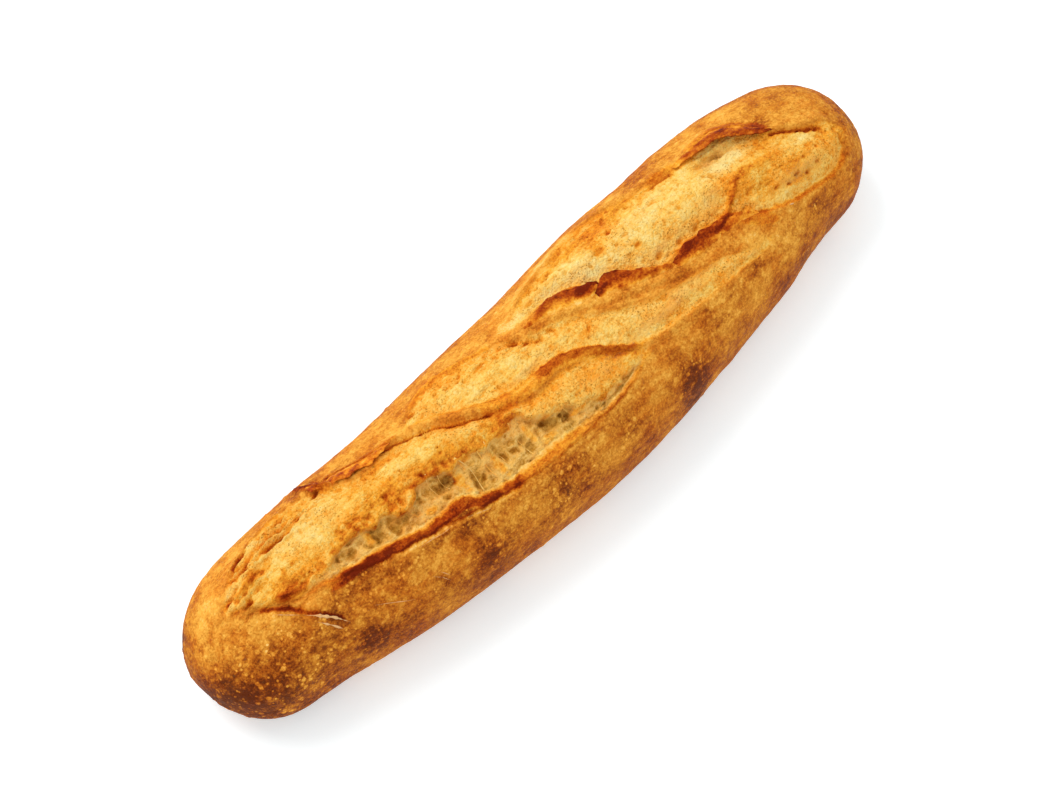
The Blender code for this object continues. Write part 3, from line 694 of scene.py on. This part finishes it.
    def roughen(self):
        """Unevenness of the whole loaf and the fine wrinkles of its crust."""
        p = self.skin.points
        outside = ease(-self.torn / 1.5)
        self.height += 0.7 * grain(p, 38, 131) + 0.25 * grain(p, 12, 141, 2)
        wrinkles, swirls = grain(p * [0.6, 1, 1], 3.2, 171, 3), grain(p, 1.5, 173, 2)
        self.height += outside * (0.22 * wrinkles + 0.08 * swirls)
        # Painted light and shade: raised wrinkles are paler and low ones darker
        self.bake -= outside * (0.07 * wrinkles + 0.06 * swirls)
        self.height += (1 - outside) * 0.12 * grain(p, 1.4, 175)

    def finish(self):
        """Flattens the relief where the loaf rests and at its very tips, and dusts the underside."""
        level = self.skin.points[..., 2]
        free = ease(level / REST_FADE) * ease((LENGTH / 2 - np.abs(self.skin.along)) / TIP_FADE)
        self.height *= free
        self.lean *= free
        self.flour += 0.35 * ease(1 - level / DUST_FADE) * ease(0.5 + grain(self.skin.points, 7, 181, 3))


class Surface:
    """The finished skin as something to lay other pieces on: any place on it can be looked up."""

    LOW, HIGH, SPACING = -70, 50, 0.25

    def __init__(self, skin, crust):
        self.skin = skin
        self.columns = np.arange(self.LOW, self.HIGH, self.SPACING)
        layers = np.concatenate([skin.points, skin.outward, crust.height[..., None]], axis=-1)
        self.table = np.array([[np.interp(self.columns, across, layer) for layer in row.T]
                               for across, row in zip(skin.across, layers)])

    def at(self, along, across):
        """The smooth skin's point, its outward direction and the height of the relief there."""
        along, across = np.broadcast_arrays(np.asarray(along, float), np.asarray(across, float))
        row = np.interp(along, self.skin.along[:, 0], np.arange(len(self.table)))
        column = np.clip((across - self.columns[0]) / self.SPACING, 0, len(self.columns) - 1.001)
        i, j = np.minimum(row.astype(int), len(self.table) - 2), column.astype(int)
        s, t = (row - i)[..., None], (column - j)[..., None]
        found = mix(mix(self.table[i, :, j], self.table[i, :, j + 1], t),
                    mix(self.table[i + 1, :, j], self.table[i + 1, :, j + 1], t), s)
        return found[..., :3], unit(found[..., 3:6]), found[..., 6]


BAKED = {}


def bake_loaf(sizes):
    """The skin, its relief and its look-up, worked out once for all the operators."""
    key = (sizes.lip, sizes.gape, sizes.stations, sizes.lines)
    if key not in BAKED:
        skin = Skin(sizes.stations, sizes.lines)
        crust = Crust(skin, sizes)
        for part in (crust.lower_slash, crust.middle_slash, crust.upper_slash, crust.toast, crust.folds,
                     crust.open_crumb, crust.torn_ground, crust.blisters, crust.roughen, crust.finish):
            part()
        BAKED[key] = skin, crust, Surface(skin, crust)
    return BAKED[key]


def ringed_faces(rings, lines, start=0):
    """Faces of a closed tube of rings, with its two tips after the rings' own points."""
    corner = start + np.arange(rings * lines).reshape(rings, lines)
    beside = np.roll(corner, -1, axis=1)
    quads = np.stack([corner[:-1], corner[1:], beside[1:], beside[:-1]], axis=-1).reshape(-1, 4)
    tips = start + rings * lines + np.arange(2)
    first = np.stack([np.full(lines, tips[0]), corner[0], beside[0]], axis=-1)
    last = np.stack([np.full(lines, tips[1]), beside[-1], corner[-1]], axis=-1)
    return quads.tolist() + first.tolist() + last.tolist()


def bread_piece(name, tubes, material):
    """One object of closed tubes, each (rings of points, two tips, masks), in millimetres."""
    points, faces, masks = [], [], {mask: [] for mask in Crust.MASKS}
    for rings, tips, values in tubes:
        faces += ringed_faces(*rings.shape[:2], start=sum(len(p) for p in points))
        points.append(np.concatenate([rings.reshape(-1, 3), tips]))
        for mask in Crust.MASKS:
            value = np.broadcast_to(values.get(mask, 0.0), rings.shape[:2])
            masks[mask].append(np.concatenate([value.ravel(), [value[0].mean(), value[-1].mean()]]))
    mesh = bpy.data.meshes.new(name)
    mesh.from_pydata(np.concatenate(points) * MM, [], faces)
    for mask, values in masks.items():
        layer = mesh.attributes.new(mask, "FLOAT", "POINT")
        layer.data.foreach_set("value", np.concatenate(values).astype(np.float32))
    mesh.validate()
    mesh.shade_smooth()
    mesh.materials.append(material)
    piece = bpy.data.objects.new(name, mesh)
    bpy.context.scene.collection.objects.link(piece)
    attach(piece, "root")
    return piece


def ear_tube(surface, ear, seed):
    """A curled ear of crust: rings that run out from its root to its ragged edge and back beneath."""
    start, end = ear["base"][0][0], ear["base"][-1][0]
    along = np.arange(start, end, EAR_STEP)
    u = np.linspace(0, 1, EAR_LINES)
    taper = between(along, start, end, 4)[:, None]
    chip = np.stack([along, along * 0, along * 0], axis=-1)
    ragged = 1.3 * grain(chip, 4.0, seed, 2)[:, None] + 0.35 * grain(chip, 1.2, seed + 3, 2)[:, None]
    root = smooth_line(ear["base"], along)[0][:, None]
    edge = smooth_line(ear["edge"], along)[0][:, None] + 0.8 * taper * ragged
    across = mix(root, edge, u)
    x = np.broadcast_to(along[:, None], across.shape)
    point, outward, _ = surface.at(x, across)
    ground = surface.at(along, root[:, 0])[2][:, None]
    wrinkle = grain(point * [0.6, 1, 1], 2.2, seed + 5, 4)
    rise = ear["rise"] * taper * (1 + 0.3 * grain(chip, 7, seed + 9, 2)[:, None])
    blister = ease(1 - bubbles(point, 1.9, seed + 7)[0] / 0.45)
    lift = ground - 0.5 * (1 - u)**2 + rise * np.sin(u * EAR_CURL) / np.sin(EAR_CURL)
    lift += 0.8 * wrinkle * u
    lift += 0.25 * blister * u * (1 - u)
    thick = ear["thick"] * (1 - 0.6 * u**2) * (0.3 + 0.7 * taper)
    top = point + outward * lift[..., None]
    under = point + outward * (lift - thick)[..., None]
    rings = np.concatenate([top, under[:, ::-1]], axis=1)
    root_tone, *edge_tones = ear["tones"]
    edge_tone = np.interp(along, np.linspace(start, end, 3), edge_tones)[:, None]
    tone = mix(root_tone, edge_tone, ease(u * EAR_CURL - 0.16 + 0.4 * wrinkle))
    tone += 0.34 * wrinkle - 0.14 * blister
    # The underside is a little darker: painted shade beneath the ear
    tone = np.concatenate([tone, tone[:, ::-1] + 0.05], axis=1)
    toasted = np.concatenate([ease(2.2 * u), ease(2.2 * u[::-1])]) * np.ones_like(tone)
    tips = rings[[0, -1]].mean(axis=1)
    return rings, tips, dict(torn=-2.0, bake=tone, toasted=toasted, crowd=0.4)


def thread_tube(path, thickness, masks):
    """A thread of dough or flour along a path of points, with a thickness at each of them."""
    forward = unit(np.gradient(path, axis=0))
    side = unit(np.cross(forward, np.array([0.31, 0.17, 0.93])))
    up = np.cross(side, forward)
    angle = np.arange(THREAD_SIDES)[:, None] / THREAD_SIDES * 2 * np.pi
    circle = side[:, None] * np.cos(angle) + up[:, None] * np.sin(angle)
    rings = path[:, None] + circle * thickness[:, None, None]
    return rings, path[[0, -1]], masks


def strand_tubes(surface):
    """Strands of dough that stretched across an opening without breaking."""
    draw = np.random.default_rng(7)
    tubes = []
    for near_line, far_line, start, end, count in STRANDS:
        for _ in range(count):
            x0 = draw.uniform(start, end)
            x1 = x0 + draw.normal(0, 1.8)
            c0 = smooth_line(near_line, x0)[0] + draw.uniform(-0.2, 0.6)
            if far_line is None:
                c0 -= HOOD_SET
                c1 = c0 + HOOD_SPAN
            else:
                c1 = smooth_line(far_line, x1)[0] + draw.uniform(-0.2, 0.9)
            if draw.uniform() < 0.3:
                reach = draw.uniform(0.45, 0.8)
                if draw.uniform() < 0.6:
                    x0, c0 = mix(x1, x0, reach), mix(c1, c0, reach)
                else:
                    x1, c1 = mix(x0, x1, reach), mix(c0, c1, reach)
            t = np.linspace(0, 1, STRAND_POINTS)
            bend = draw.normal(0, 1.1) * np.sin(np.pi * t) + draw.normal(0, 0.4) * np.sin(2 * np.pi * t)
            along, across = mix(x0, x1, t) + bend, mix(c0, c1, t)
            point, outward, height = surface.at(along, across)
            taut = mix(height[0], height[-1], t) - draw.uniform(0.8, 2.2) * np.sin(np.pi * t)
            lift = np.maximum(taut, height - 0.05) - 0.15
            thickness = draw.uniform(0.06, 0.10) * (1 + 2.4 * (2 * t - 1)**4)
            tone = draw.uniform(0.1, 0.4)
            tubes.append(thread_tube(point + outward * lift[:, None], thickness,
                                     dict(torn=2.0, bake=tone, crumb=0.3, web=0.7)))
    return tubes


def flour_tubes(surface):
    """Broken lines of flour, raised a little from the crust."""
    tubes = []
    for number, (places, breadth) in enumerate(FLOUR_TRACES):
        x, c = np.array(places, float).T
        travelled = np.concatenate([[0], np.cumsum(np.hypot(np.diff(x), np.diff(c)))])
        step = np.arange(0, travelled[-1], FLOUR_STEP)
        along, across = np.interp(step, travelled, x), np.interp(step, travelled, c)
        point, outward, height = surface.at(along, across)
        chip = np.stack([step, step * 0 + 9 * number, step * 0], axis=-1)
        wander = grain(chip, 2.0, 201, 2)
        thickness = 0.5 * breadth * between(step, 0, travelled[-1], travelled[-1] / 3)
        thickness = np.maximum(thickness * (0.8 + 0.9 * grain(chip, 1.1, 205, 2)), 0.03)
        path = point + outward * (height + 0.12 + 0.05 * wander)[:, None]
        tubes.append(thread_tube(path, thickness, dict(torn=-2.0, bake=0.2, flour=0.9)))
    return tubes


# Finishes

class Nodes:
    """A short way to place and join shader nodes in one tree."""

    def __init__(self, tree):
        self.tree = tree

    def add(self, kind, inputs=None, **settings):
        node = self.tree.nodes.new(kind)
        for name, value in settings.items():
            setattr(node, name, value)
        for name, value in (inputs or {}).items():
            self.feed(node.inputs[name], value)
        return node

    def feed(self, socket, value):
        if isinstance(value, bpy.types.NodeSocket):
            self.tree.links.new(value, socket)
        elif value is not None:
            socket.default_value = value

    def math(self, operation, a, b=None, c=None, clamp=False):
        node = self.add("ShaderNodeMath", {0: a}, operation=operation, use_clamp=clamp)
        for i, value in ((1, b), (2, c)):
            if value is not None:
                self.feed(node.inputs[i], value)
        return node.outputs[0]

    def total(self, start, *parts):
        """A value with shares of others added to it, each given as (value, share)."""
        for value, share in parts:
            start = self.math("MULTIPLY_ADD", value, share, start)
        return start

    def mask(self, name):
        return self.add("ShaderNodeAttribute", attribute_name=name).outputs["Fac"]

    def blend(self, share, a, b, way="MIX"):
        """Colour a turned into colour b by this share."""
        node = self.add("ShaderNodeMix", data_type="RGBA", blend_type=way)
        self.feed(node.inputs["Factor"], share)
        self.feed(node.inputs[6], a)
        self.feed(node.inputs[7], b)
        return node.outputs[2]

    def ramp(self, value, stops):
        node = self.add("ShaderNodeValToRGB", {"Fac": value})
        while len(node.color_ramp.elements) < len(stops):
            node.color_ramp.elements.new(0.5)
        for element, (place, colour) in zip(node.color_ramp.elements, stops):
            element.position = place
            element.color = (*colour[:3], 1)
        return node.outputs["Color"]

    def step(self, value, low, high):
        node = self.add("ShaderNodeMapRange", {"Value": value, "From Min": low, "From Max": high},
                        interpolation_type="SMOOTHSTEP")
        return node.outputs["Result"]


GRAINS = ("Mottle", "Fine", "Cloud", "Streak", "Dots", "Freckles", "Cells", "Veins")
NOISE_SPREAD = 5.0


def grain_group():
    """Bread's fine grain: the first four outputs run from about -1 to 1, and the others from 0 to 1."""
    name = "bread_grain"
    if name in bpy.data.node_groups:
        return bpy.data.node_groups[name]
    group = bpy.data.node_groups.new(name, "ShaderNodeTree")
    group.interface.new_socket("Size", in_out="INPUT", socket_type="NodeSocketFloat").default_value = 1.0
    for output in GRAINS:
        group.interface.new_socket(output, in_out="OUTPUT", socket_type="NodeSocketFloat")
    n = Nodes(group)
    source, sink = n.add("NodeGroupInput"), n.add("NodeGroupOutput")
    place = n.add("ShaderNodeTexCoord").outputs["Object"]
    size = source.outputs["Size"]

    def scale(millimetres):
        return n.math("DIVIDE", 1 / (millimetres * MM), size)

    def drawn_out(share):
        """The place, with the pattern drawn out along the loaf."""
        return n.add("ShaderNodeVectorMath", {0: place, 1: (share, 1, 1)}, operation="MULTIPLY").outputs[0]

    def noise(millimetres, detail, rough, where=place):
        texture = n.add("ShaderNodeTexNoise", {"Vector": where, "Scale": scale(millimetres),
                                               "Detail": detail, "Roughness": rough})
        return n.math("MULTIPLY_ADD", texture.outputs["Fac"], NOISE_SPREAD, -NOISE_SPREAD / 2)

    def cells(millimetres, **settings):
        inputs = {"Vector": place, "Scale": scale(millimetres)}
        return n.add("ShaderNodeTexVoronoi", inputs, **settings).outputs

    def dots(millimetres, share):
        cell = cells(millimetres)
        own = n.add("ShaderNodeSeparateColor", {"Color": cell["Color"]}).outputs["Red"]
        chosen = n.math("LESS_THAN", own, share)
        return n.math("MULTIPLY", n.step(cell["Distance"], 0.40, 0.22), chosen)

    values = {
        "Mottle": noise(2.6, 5.0, 0.72),
        "Fine": noise(0.75, 1.5, 0.5),
        "Cloud": noise(14.0, 3.0, 0.55),
        "Streak": noise(2.4, 2.0, 0.5, drawn_out(0.22)),
        "Dots": n.math("MAXIMUM", dots(2.9, 0.36), dots(1.5, 0.24)),
        "Freckles": n.math("MAXIMUM", dots(1.0, 0.20), dots(0.65, 0.26)),
        "Cells": n.step(cells(0.9, feature="DISTANCE_TO_EDGE")["Distance"], 0.0, 0.22),
        "Veins": n.step(n.math("ABSOLUTE", noise(3.4, 3.0, 0.62, drawn_out(0.55))), 0.13, 0.0),
    }
    for output in GRAINS:
        n.feed(sink.inputs[output], values[output])
    return group


def bread_material(name, look, sheen, fine_relief):
    """Baked crust outside the slashes, toasted edges, torn golden skin and open crumb inside them."""
    material = bpy.data.materials.new(name)
    material.use_nodes = True
    n = Nodes(material.node_tree)
    bread = n.tree.nodes["Principled BSDF"]
    grains = n.add("ShaderNodeGroup", node_tree=grain_group()).outputs
    mottle, fine, cloud, streak, dots, freckles, cells, veins = (grains[name] for name in GRAINS)
    torn, crumb, bake, toasted, web, pit_shade, blister, crowd, flour = map(n.mask, Crust.MASKS)

    busy = n.math("MULTIPLY_ADD", crowd, 0.14, 0.13)
    crust_tone = n.total(bake, (mottle, busy), (fine, 0.10), (veins, 0.07), (cloud, 0.11), (streak, 0.04),
                         (n.math("MULTIPLY", dots, crowd), -0.38), (blister, -0.16))
    crust = n.ramp(crust_tone, [(0.0, look.straw), (0.25, look.gold), (0.5, look.amber),
                                (0.7, look.brown), (0.86, look.umber), (1.0, look.bark)])
    # Small sunken pinholes of the torn skin, which carry painted shade
    shaded_pinholes = n.math("MULTIPLY", freckles, n.step(n.total(cloud, (mottle, 0.4)), -0.6, 0.6))
    # The torn skin's tone darkens with painted shade in pits and pinholes
    torn_tone = n.total(bake, (mottle, 0.08), (fine, 0.07), (veins, 0.09), (cloud, 0.03), (streak, 0.04),
                        (pit_shade, 0.28), (shaded_pinholes, 0.06))
    torn_skin = n.ramp(torn_tone, [(0.0, look.cream), (0.25, look.butter), (0.45, look.honey),
                                   (0.66, look.rust), (0.84, look.ember), (1.0, look.char)])
    # Painted shade: the pits and pinholes of the torn skin turn towards the dusk colour
    pit_and_pinhole_shade = n.math("MAXIMUM", n.math("MULTIPLY", pit_shade, 0.6), n.math("MULTIPLY", shaded_pinholes, 0.8))
    pit_and_pinhole_shade = n.math("MULTIPLY", pit_and_pinhole_shade, n.step(torn_tone, 0.6, 0.4))
    torn_skin = n.blend(pit_and_pinhole_shade, torn_skin, (*look.dusk, 1))
    # Painted shade: the crumb darkens towards dusk and hollow in its pits and cells
    crumb_tone = n.total(0.69, (mottle, 0.08), (fine, 0.12), (veins, 0.10), (pit_shade, -0.70), (cloud, 0.05))
    open_crumb = n.ramp(crumb_tone, [(0.0, look.hollow), (0.35, look.dusk), (0.6, look.dough),
                                     (1.0, look.cream)])
    golden = n.math("MULTIPLY", web, n.step(n.total(0.5, (mottle, 0.4)), 0.1, 0.9))
    open_crumb = n.blend(golden, open_crumb, (*look.web, 1))

    inside = n.step(n.total(torn, (mottle, 0.35), (fine, 0.15)), -0.4, 0.4)
    reddened = n.step(n.total(toasted, (mottle, 0.12)), 0.2, 0.7)
    colour = n.blend(n.math("MAXIMUM", inside, reddened), crust, torn_skin)
    bare = n.step(n.total(crumb, (mottle, 0.22), (fine, 0.10)), 0.15, 0.9)
    colour = n.blend(bare, colour, open_crumb)
    dusty = n.step(n.total(flour, (mottle, 0.12), (fine, 0.1)), 0.15, 0.75)
    colour = n.blend(dusty, colour, (*look.flour, 1))
    warm = n.step(n.total(cloud, (mottle, 0.4), (streak, 0.5)), -0.7, 1.1)
    colour = n.blend(n.math("MULTIPLY", warm, 0.8), colour, (*look.warmth, 1), "MULTIPLY")
    n.feed(bread.inputs["Base Color"], colour)

    baked = n.math("MULTIPLY", n.step(crust_tone, 0.3, 0.9), n.math("SUBTRACT", 1.0, bare))
    n.feed(bread.inputs["Roughness"], n.total(0.82, (baked, -sheen)))
    bread.inputs["Specular IOR Level"].default_value = 0.05
    grainy = n.math("MULTIPLY_ADD", inside, 0.22, 0.10)
    relief = n.total(n.math("MULTIPLY", cells, 0.05), (mottle, 0.3), (n.math("MULTIPLY", fine, grainy), 1.0),
                     (shaded_pinholes, -0.5), (veins, -0.25))
    bump = n.add("ShaderNodeBump", {"Height": relief, "Distance": fine_relief, "Strength": 0.9})
    n.feed(bread.inputs["Normal"], bump.outputs["Normal"])
    return material


def floor_material(colour, glow):
    """A matt pale floor with a faint light of its own."""
    material = bpy.data.materials.new("pale_floor")
    material.use_nodes = True
    paper = material.node_tree.nodes["Principled BSDF"]
    paper.inputs["Base Color"].default_value = (*colour, 1)
    paper.inputs["Roughness"].default_value = 0.9
    paper.inputs["Specular IOR Level"].default_value = 0.1
    paper.inputs["Emission Color"].default_value = (*FLOOR_LIGHT, 1)
    paper.inputs["Emission Strength"].default_value = glow
    return material


# What a user would change

def length(name, description, metres):
    """A setting that is a length."""
    return FloatProperty(name=name, description=description, default=metres, min=0, unit="LENGTH",
                         precision=5)


def tint(name, description, rgb):
    """A setting that is a colour."""
    return FloatVectorProperty(name=name, description=description, default=rgb, size=3, min=0, max=1,
                               subtype="COLOR")


class BaguetteSizes(bpy.types.PropertyGroup):
    lip: length("Lip", "Height of the raised crust beside the long slash", 1.5 * MM)
    gape: length("Gape", "Depth of the open crumb behind that lip", 3.0 * MM)
    stations: IntProperty(name="Stations", description="Sections of the skin from tip to tip", default=520,
                          min=40)
    lines: IntProperty(name="Lines", description="Lines of the skin round each section", default=190, min=40)


class BaguetteLook(bpy.types.PropertyGroup):
    straw: tint("Straw", "The palest crust, on blister tops", (0.95, 0.62, 0.20))
    gold: tint("Gold", "Lightly baked crust", (0.90, 0.43, 0.060))
    amber: tint("Amber", "Golden brown crust", (0.65, 0.237, 0.022))
    brown: tint("Brown", "Well baked crust", (0.42, 0.115, 0.009))
    umber: tint("Umber", "Dark patches of the crust", (0.23, 0.050, 0.004))
    bark: tint("Bark", "The darkest crust", (0.13, 0.027, 0.003))
    char: tint("Char", "The darkest toasted edges", (0.16, 0.014, 0.0006))
    cream: tint("Cream", "The palest torn dough", (0.93, 0.73, 0.28))
    butter: tint("Butter", "Pale torn skin", (0.93, 0.57, 0.12))
    honey: tint("Honey", "Golden torn skin", (0.89, 0.375, 0.030))
    rust: tint("Rust", "Toasted torn edges", (0.60, 0.16, 0.009))
    ember: tint("Ember", "Dark red toasted edges", (0.36, 0.052, 0.002))
    dough: tint("Dough", "Open crumb", (0.78, 0.45, 0.115))
    # Dusk and Hollow are painted shade: the colours of the crumb's cells and the torn skin's pits in shade
    dusk: tint("Dusk", "Shaded cells of the crumb", (0.52, 0.235, 0.026))
    hollow: tint("Hollow", "Deep cells of the crumb", (0.26, 0.092, 0.005))
    warmth: tint("Warmth", "How much warmer some clouds of the crust are", (1.0, 0.78, 0.58))
    web: tint("Web", "Golden walls between the cells of the crumb", (0.92, 0.52, 0.11))
    flour: tint("Flour", "Flour baked onto the crust", (0.74, 0.44, 0.19))
    floor: tint("Floor", "The plain floor", (0.93, 0.93, 0.93))


class BaguetteStudio(bpy.types.PropertyGroup):
    key_power: FloatProperty(name="Key power", description="Strength of the large soft light", default=14,
                             min=0, unit="POWER")
    sky: FloatProperty(name="Sky", description="Even light from all round", default=0.85, min=0)
    floor_glow: FloatProperty(name="Floor glow", description="How strongly the floor is lit from behind",
                              default=0.32, min=0)
    distance: length("Distance", "From the camera to the point it looks at", 1.196)


class BREAD_OT_stage(bpy.types.Operator):
    """Lays the pale floor, hangs the soft light and sets the camera"""
    bl_idname = "bread.stage"
    bl_label = "Set the stage"

    def execute(self, context):
        scene = context.scene
        studio, look = scene.baguette_studio, scene.baguette_look
        mesh = bpy.data.meshes.new("floor")
        corners = [(-1, -1), (1, -1), (1, 1), (-1, 1)]
        mesh.from_pydata([(x * FLOOR_REACH, y * FLOOR_REACH, -FLOOR_DROP) for x, y in corners], [],
                         [(0, 1, 2, 3)])
        mesh.materials.append(floor_material(look.floor, studio.floor_glow))
        floor = bpy.data.objects.new("floor", mesh)
        scene.collection.objects.link(floor)

        world = bpy.data.worlds.new("even_sky")
        world.use_nodes = True
        sky = world.node_tree.nodes["Background"].inputs
        sky["Color"].default_value = (1, 1, 1, 1)
        sky["Strength"].default_value = studio.sky
        scene.world = world

        lamp = bpy.data.lights.new("soft_key", "AREA")
        lamp.shape, lamp.size, lamp.energy = "DISK", LIGHT_SIZE, studio.key_power
        key = bpy.data.objects.new("soft_key", lamp)
        key.location = LIGHT_PLACE
        key.rotation_euler = (-Vector(LIGHT_PLACE)).to_track_quat("-Z", "Y").to_euler()
        scene.collection.objects.link(key)

        eye = bpy.data.cameras.new("camera")
        eye.lens, eye.sensor_width = LENS, SENSOR
        camera = bpy.data.objects.new("camera", eye)
        azimuth, elevation = np.radians(CAMERA_AZIMUTH), np.radians(CAMERA_ELEVATION)
        back = Vector((np.sin(azimuth) * np.cos(elevation), -np.cos(azimuth) * np.cos(elevation),
                       np.sin(elevation)))
        camera.location = Vector(CAMERA_AIM) + back * studio.distance
        camera.rotation_euler = back.to_track_quat("Z", "Y").to_euler()
        scene.collection.objects.link(camera)
        scene.camera = camera
        scene.view_settings.view_transform = "Standard"
        return {"FINISHED"}


class BREAD_OT_loaf(bpy.types.Operator):
    """Shapes and finishes the whole skin of the loaf"""
    bl_idname = "bread.loaf"
    bl_label = "Bake the loaf"

    def execute(self, context):
        skin, crust, _ = bake_loaf(context.scene.baguette_sizes)
        place = skin.points + skin.outward * crust.height[..., None] + skin.sideways * crust.lean[..., None]
        place[..., 2] = np.maximum(place[..., 2], 0)
        masks = {name: getattr(crust, name) for name in Crust.MASKS}
        material = bread_material("baked_crust_and_crumb", context.scene.baguette_look, sheen=0.24,
                                  fine_relief=0.5 * MM)
        loaf = bread_piece("loaf_skin", [(place, skin.tips, masks)], material)
        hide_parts("loaf")
        return {"FINISHED"}


class BREAD_OT_ears(bpy.types.Operator):
    """Curls up the ears of crust along the slashes"""
    bl_idname = "bread.ears"
    bl_label = "Curl the ears"

    def execute(self, context):
        surface = bake_loaf(context.scene.baguette_sizes)[2]
        material = bread_material("toasted_ears", context.scene.baguette_look, sheen=0.3,
                                  fine_relief=0.25 * MM)
        tubes = [ear_tube(surface, ear, 11 * number) for number, ear in enumerate(EARS)]
        bread_piece("crust_ears", tubes, material)
        return {"FINISHED"}


class BREAD_OT_strands(bpy.types.Operator):
    """Stretches strands of crumb across the open valleys"""
    bl_idname = "bread.strands"
    bl_label = "Stretch the strands"

    def execute(self, context):
        surface = bake_loaf(context.scene.baguette_sizes)[2]
        material = bread_material("crumb_strands", context.scene.baguette_look, sheen=0.1,
                                  fine_relief=0.1 * MM)
        bread_piece("crumb_strands", strand_tubes(surface), material)
        return {"FINISHED"}


class BREAD_OT_flour(bpy.types.Operator):
    """Leaves traces of flour on the crust"""
    bl_idname = "bread.flour"
    bl_label = "Dust with flour"

    def execute(self, context):
        surface = bake_loaf(context.scene.baguette_sizes)[2]
        material = bread_material("baked_flour", context.scene.baguette_look, sheen=0.0,
                                  fine_relief=0.15 * MM)
        bread_piece("flour_traces", flour_tubes(surface), material)
        return {"FINISHED"}


class BREAD_PT_maker(bpy.types.Panel):
    bl_idname = "BREAD_PT_maker"
    bl_label = "Baguette"
    bl_space_type = "VIEW_3D"
    bl_region_type = "UI"
    bl_category = "Baguette"

    def draw(self, context):
        for step in STEPS:
            self.layout.operator(step.bl_idname)
        for settings in GROUPS:
            group = getattr(context.scene, settings)
            box = self.layout.box()
            for name in group.__annotations__:
                box.prop(group, name)


GROUPS = {"baguette_sizes": BaguetteSizes, "baguette_look": BaguetteLook, "baguette_studio": BaguetteStudio}
STEPS = (BREAD_OT_stage, BREAD_OT_loaf, BREAD_OT_ears, BREAD_OT_strands, BREAD_OT_flour)


def register():
    for group in GROUPS.values():
        bpy.utils.register_class(group)
    for name, group in GROUPS.items():
        setattr(bpy.types.Scene, name, PointerProperty(type=group))
    for kind in (*STEPS, BREAD_PT_maker):
        bpy.utils.register_class(kind)


def unregister():
    for kind in (BREAD_PT_maker, *STEPS):
        bpy.utils.unregister_class(kind)
    for name in GROUPS:
        delattr(bpy.types.Scene, name)
    for group in GROUPS.values():
        bpy.utils.unregister_class(group)


def main():
    register()
    for step in STEPS:
        family, name = step.bl_idname.split(".")
        getattr(getattr(bpy.ops, family), name)()


if __name__ == "__main__":
    main()
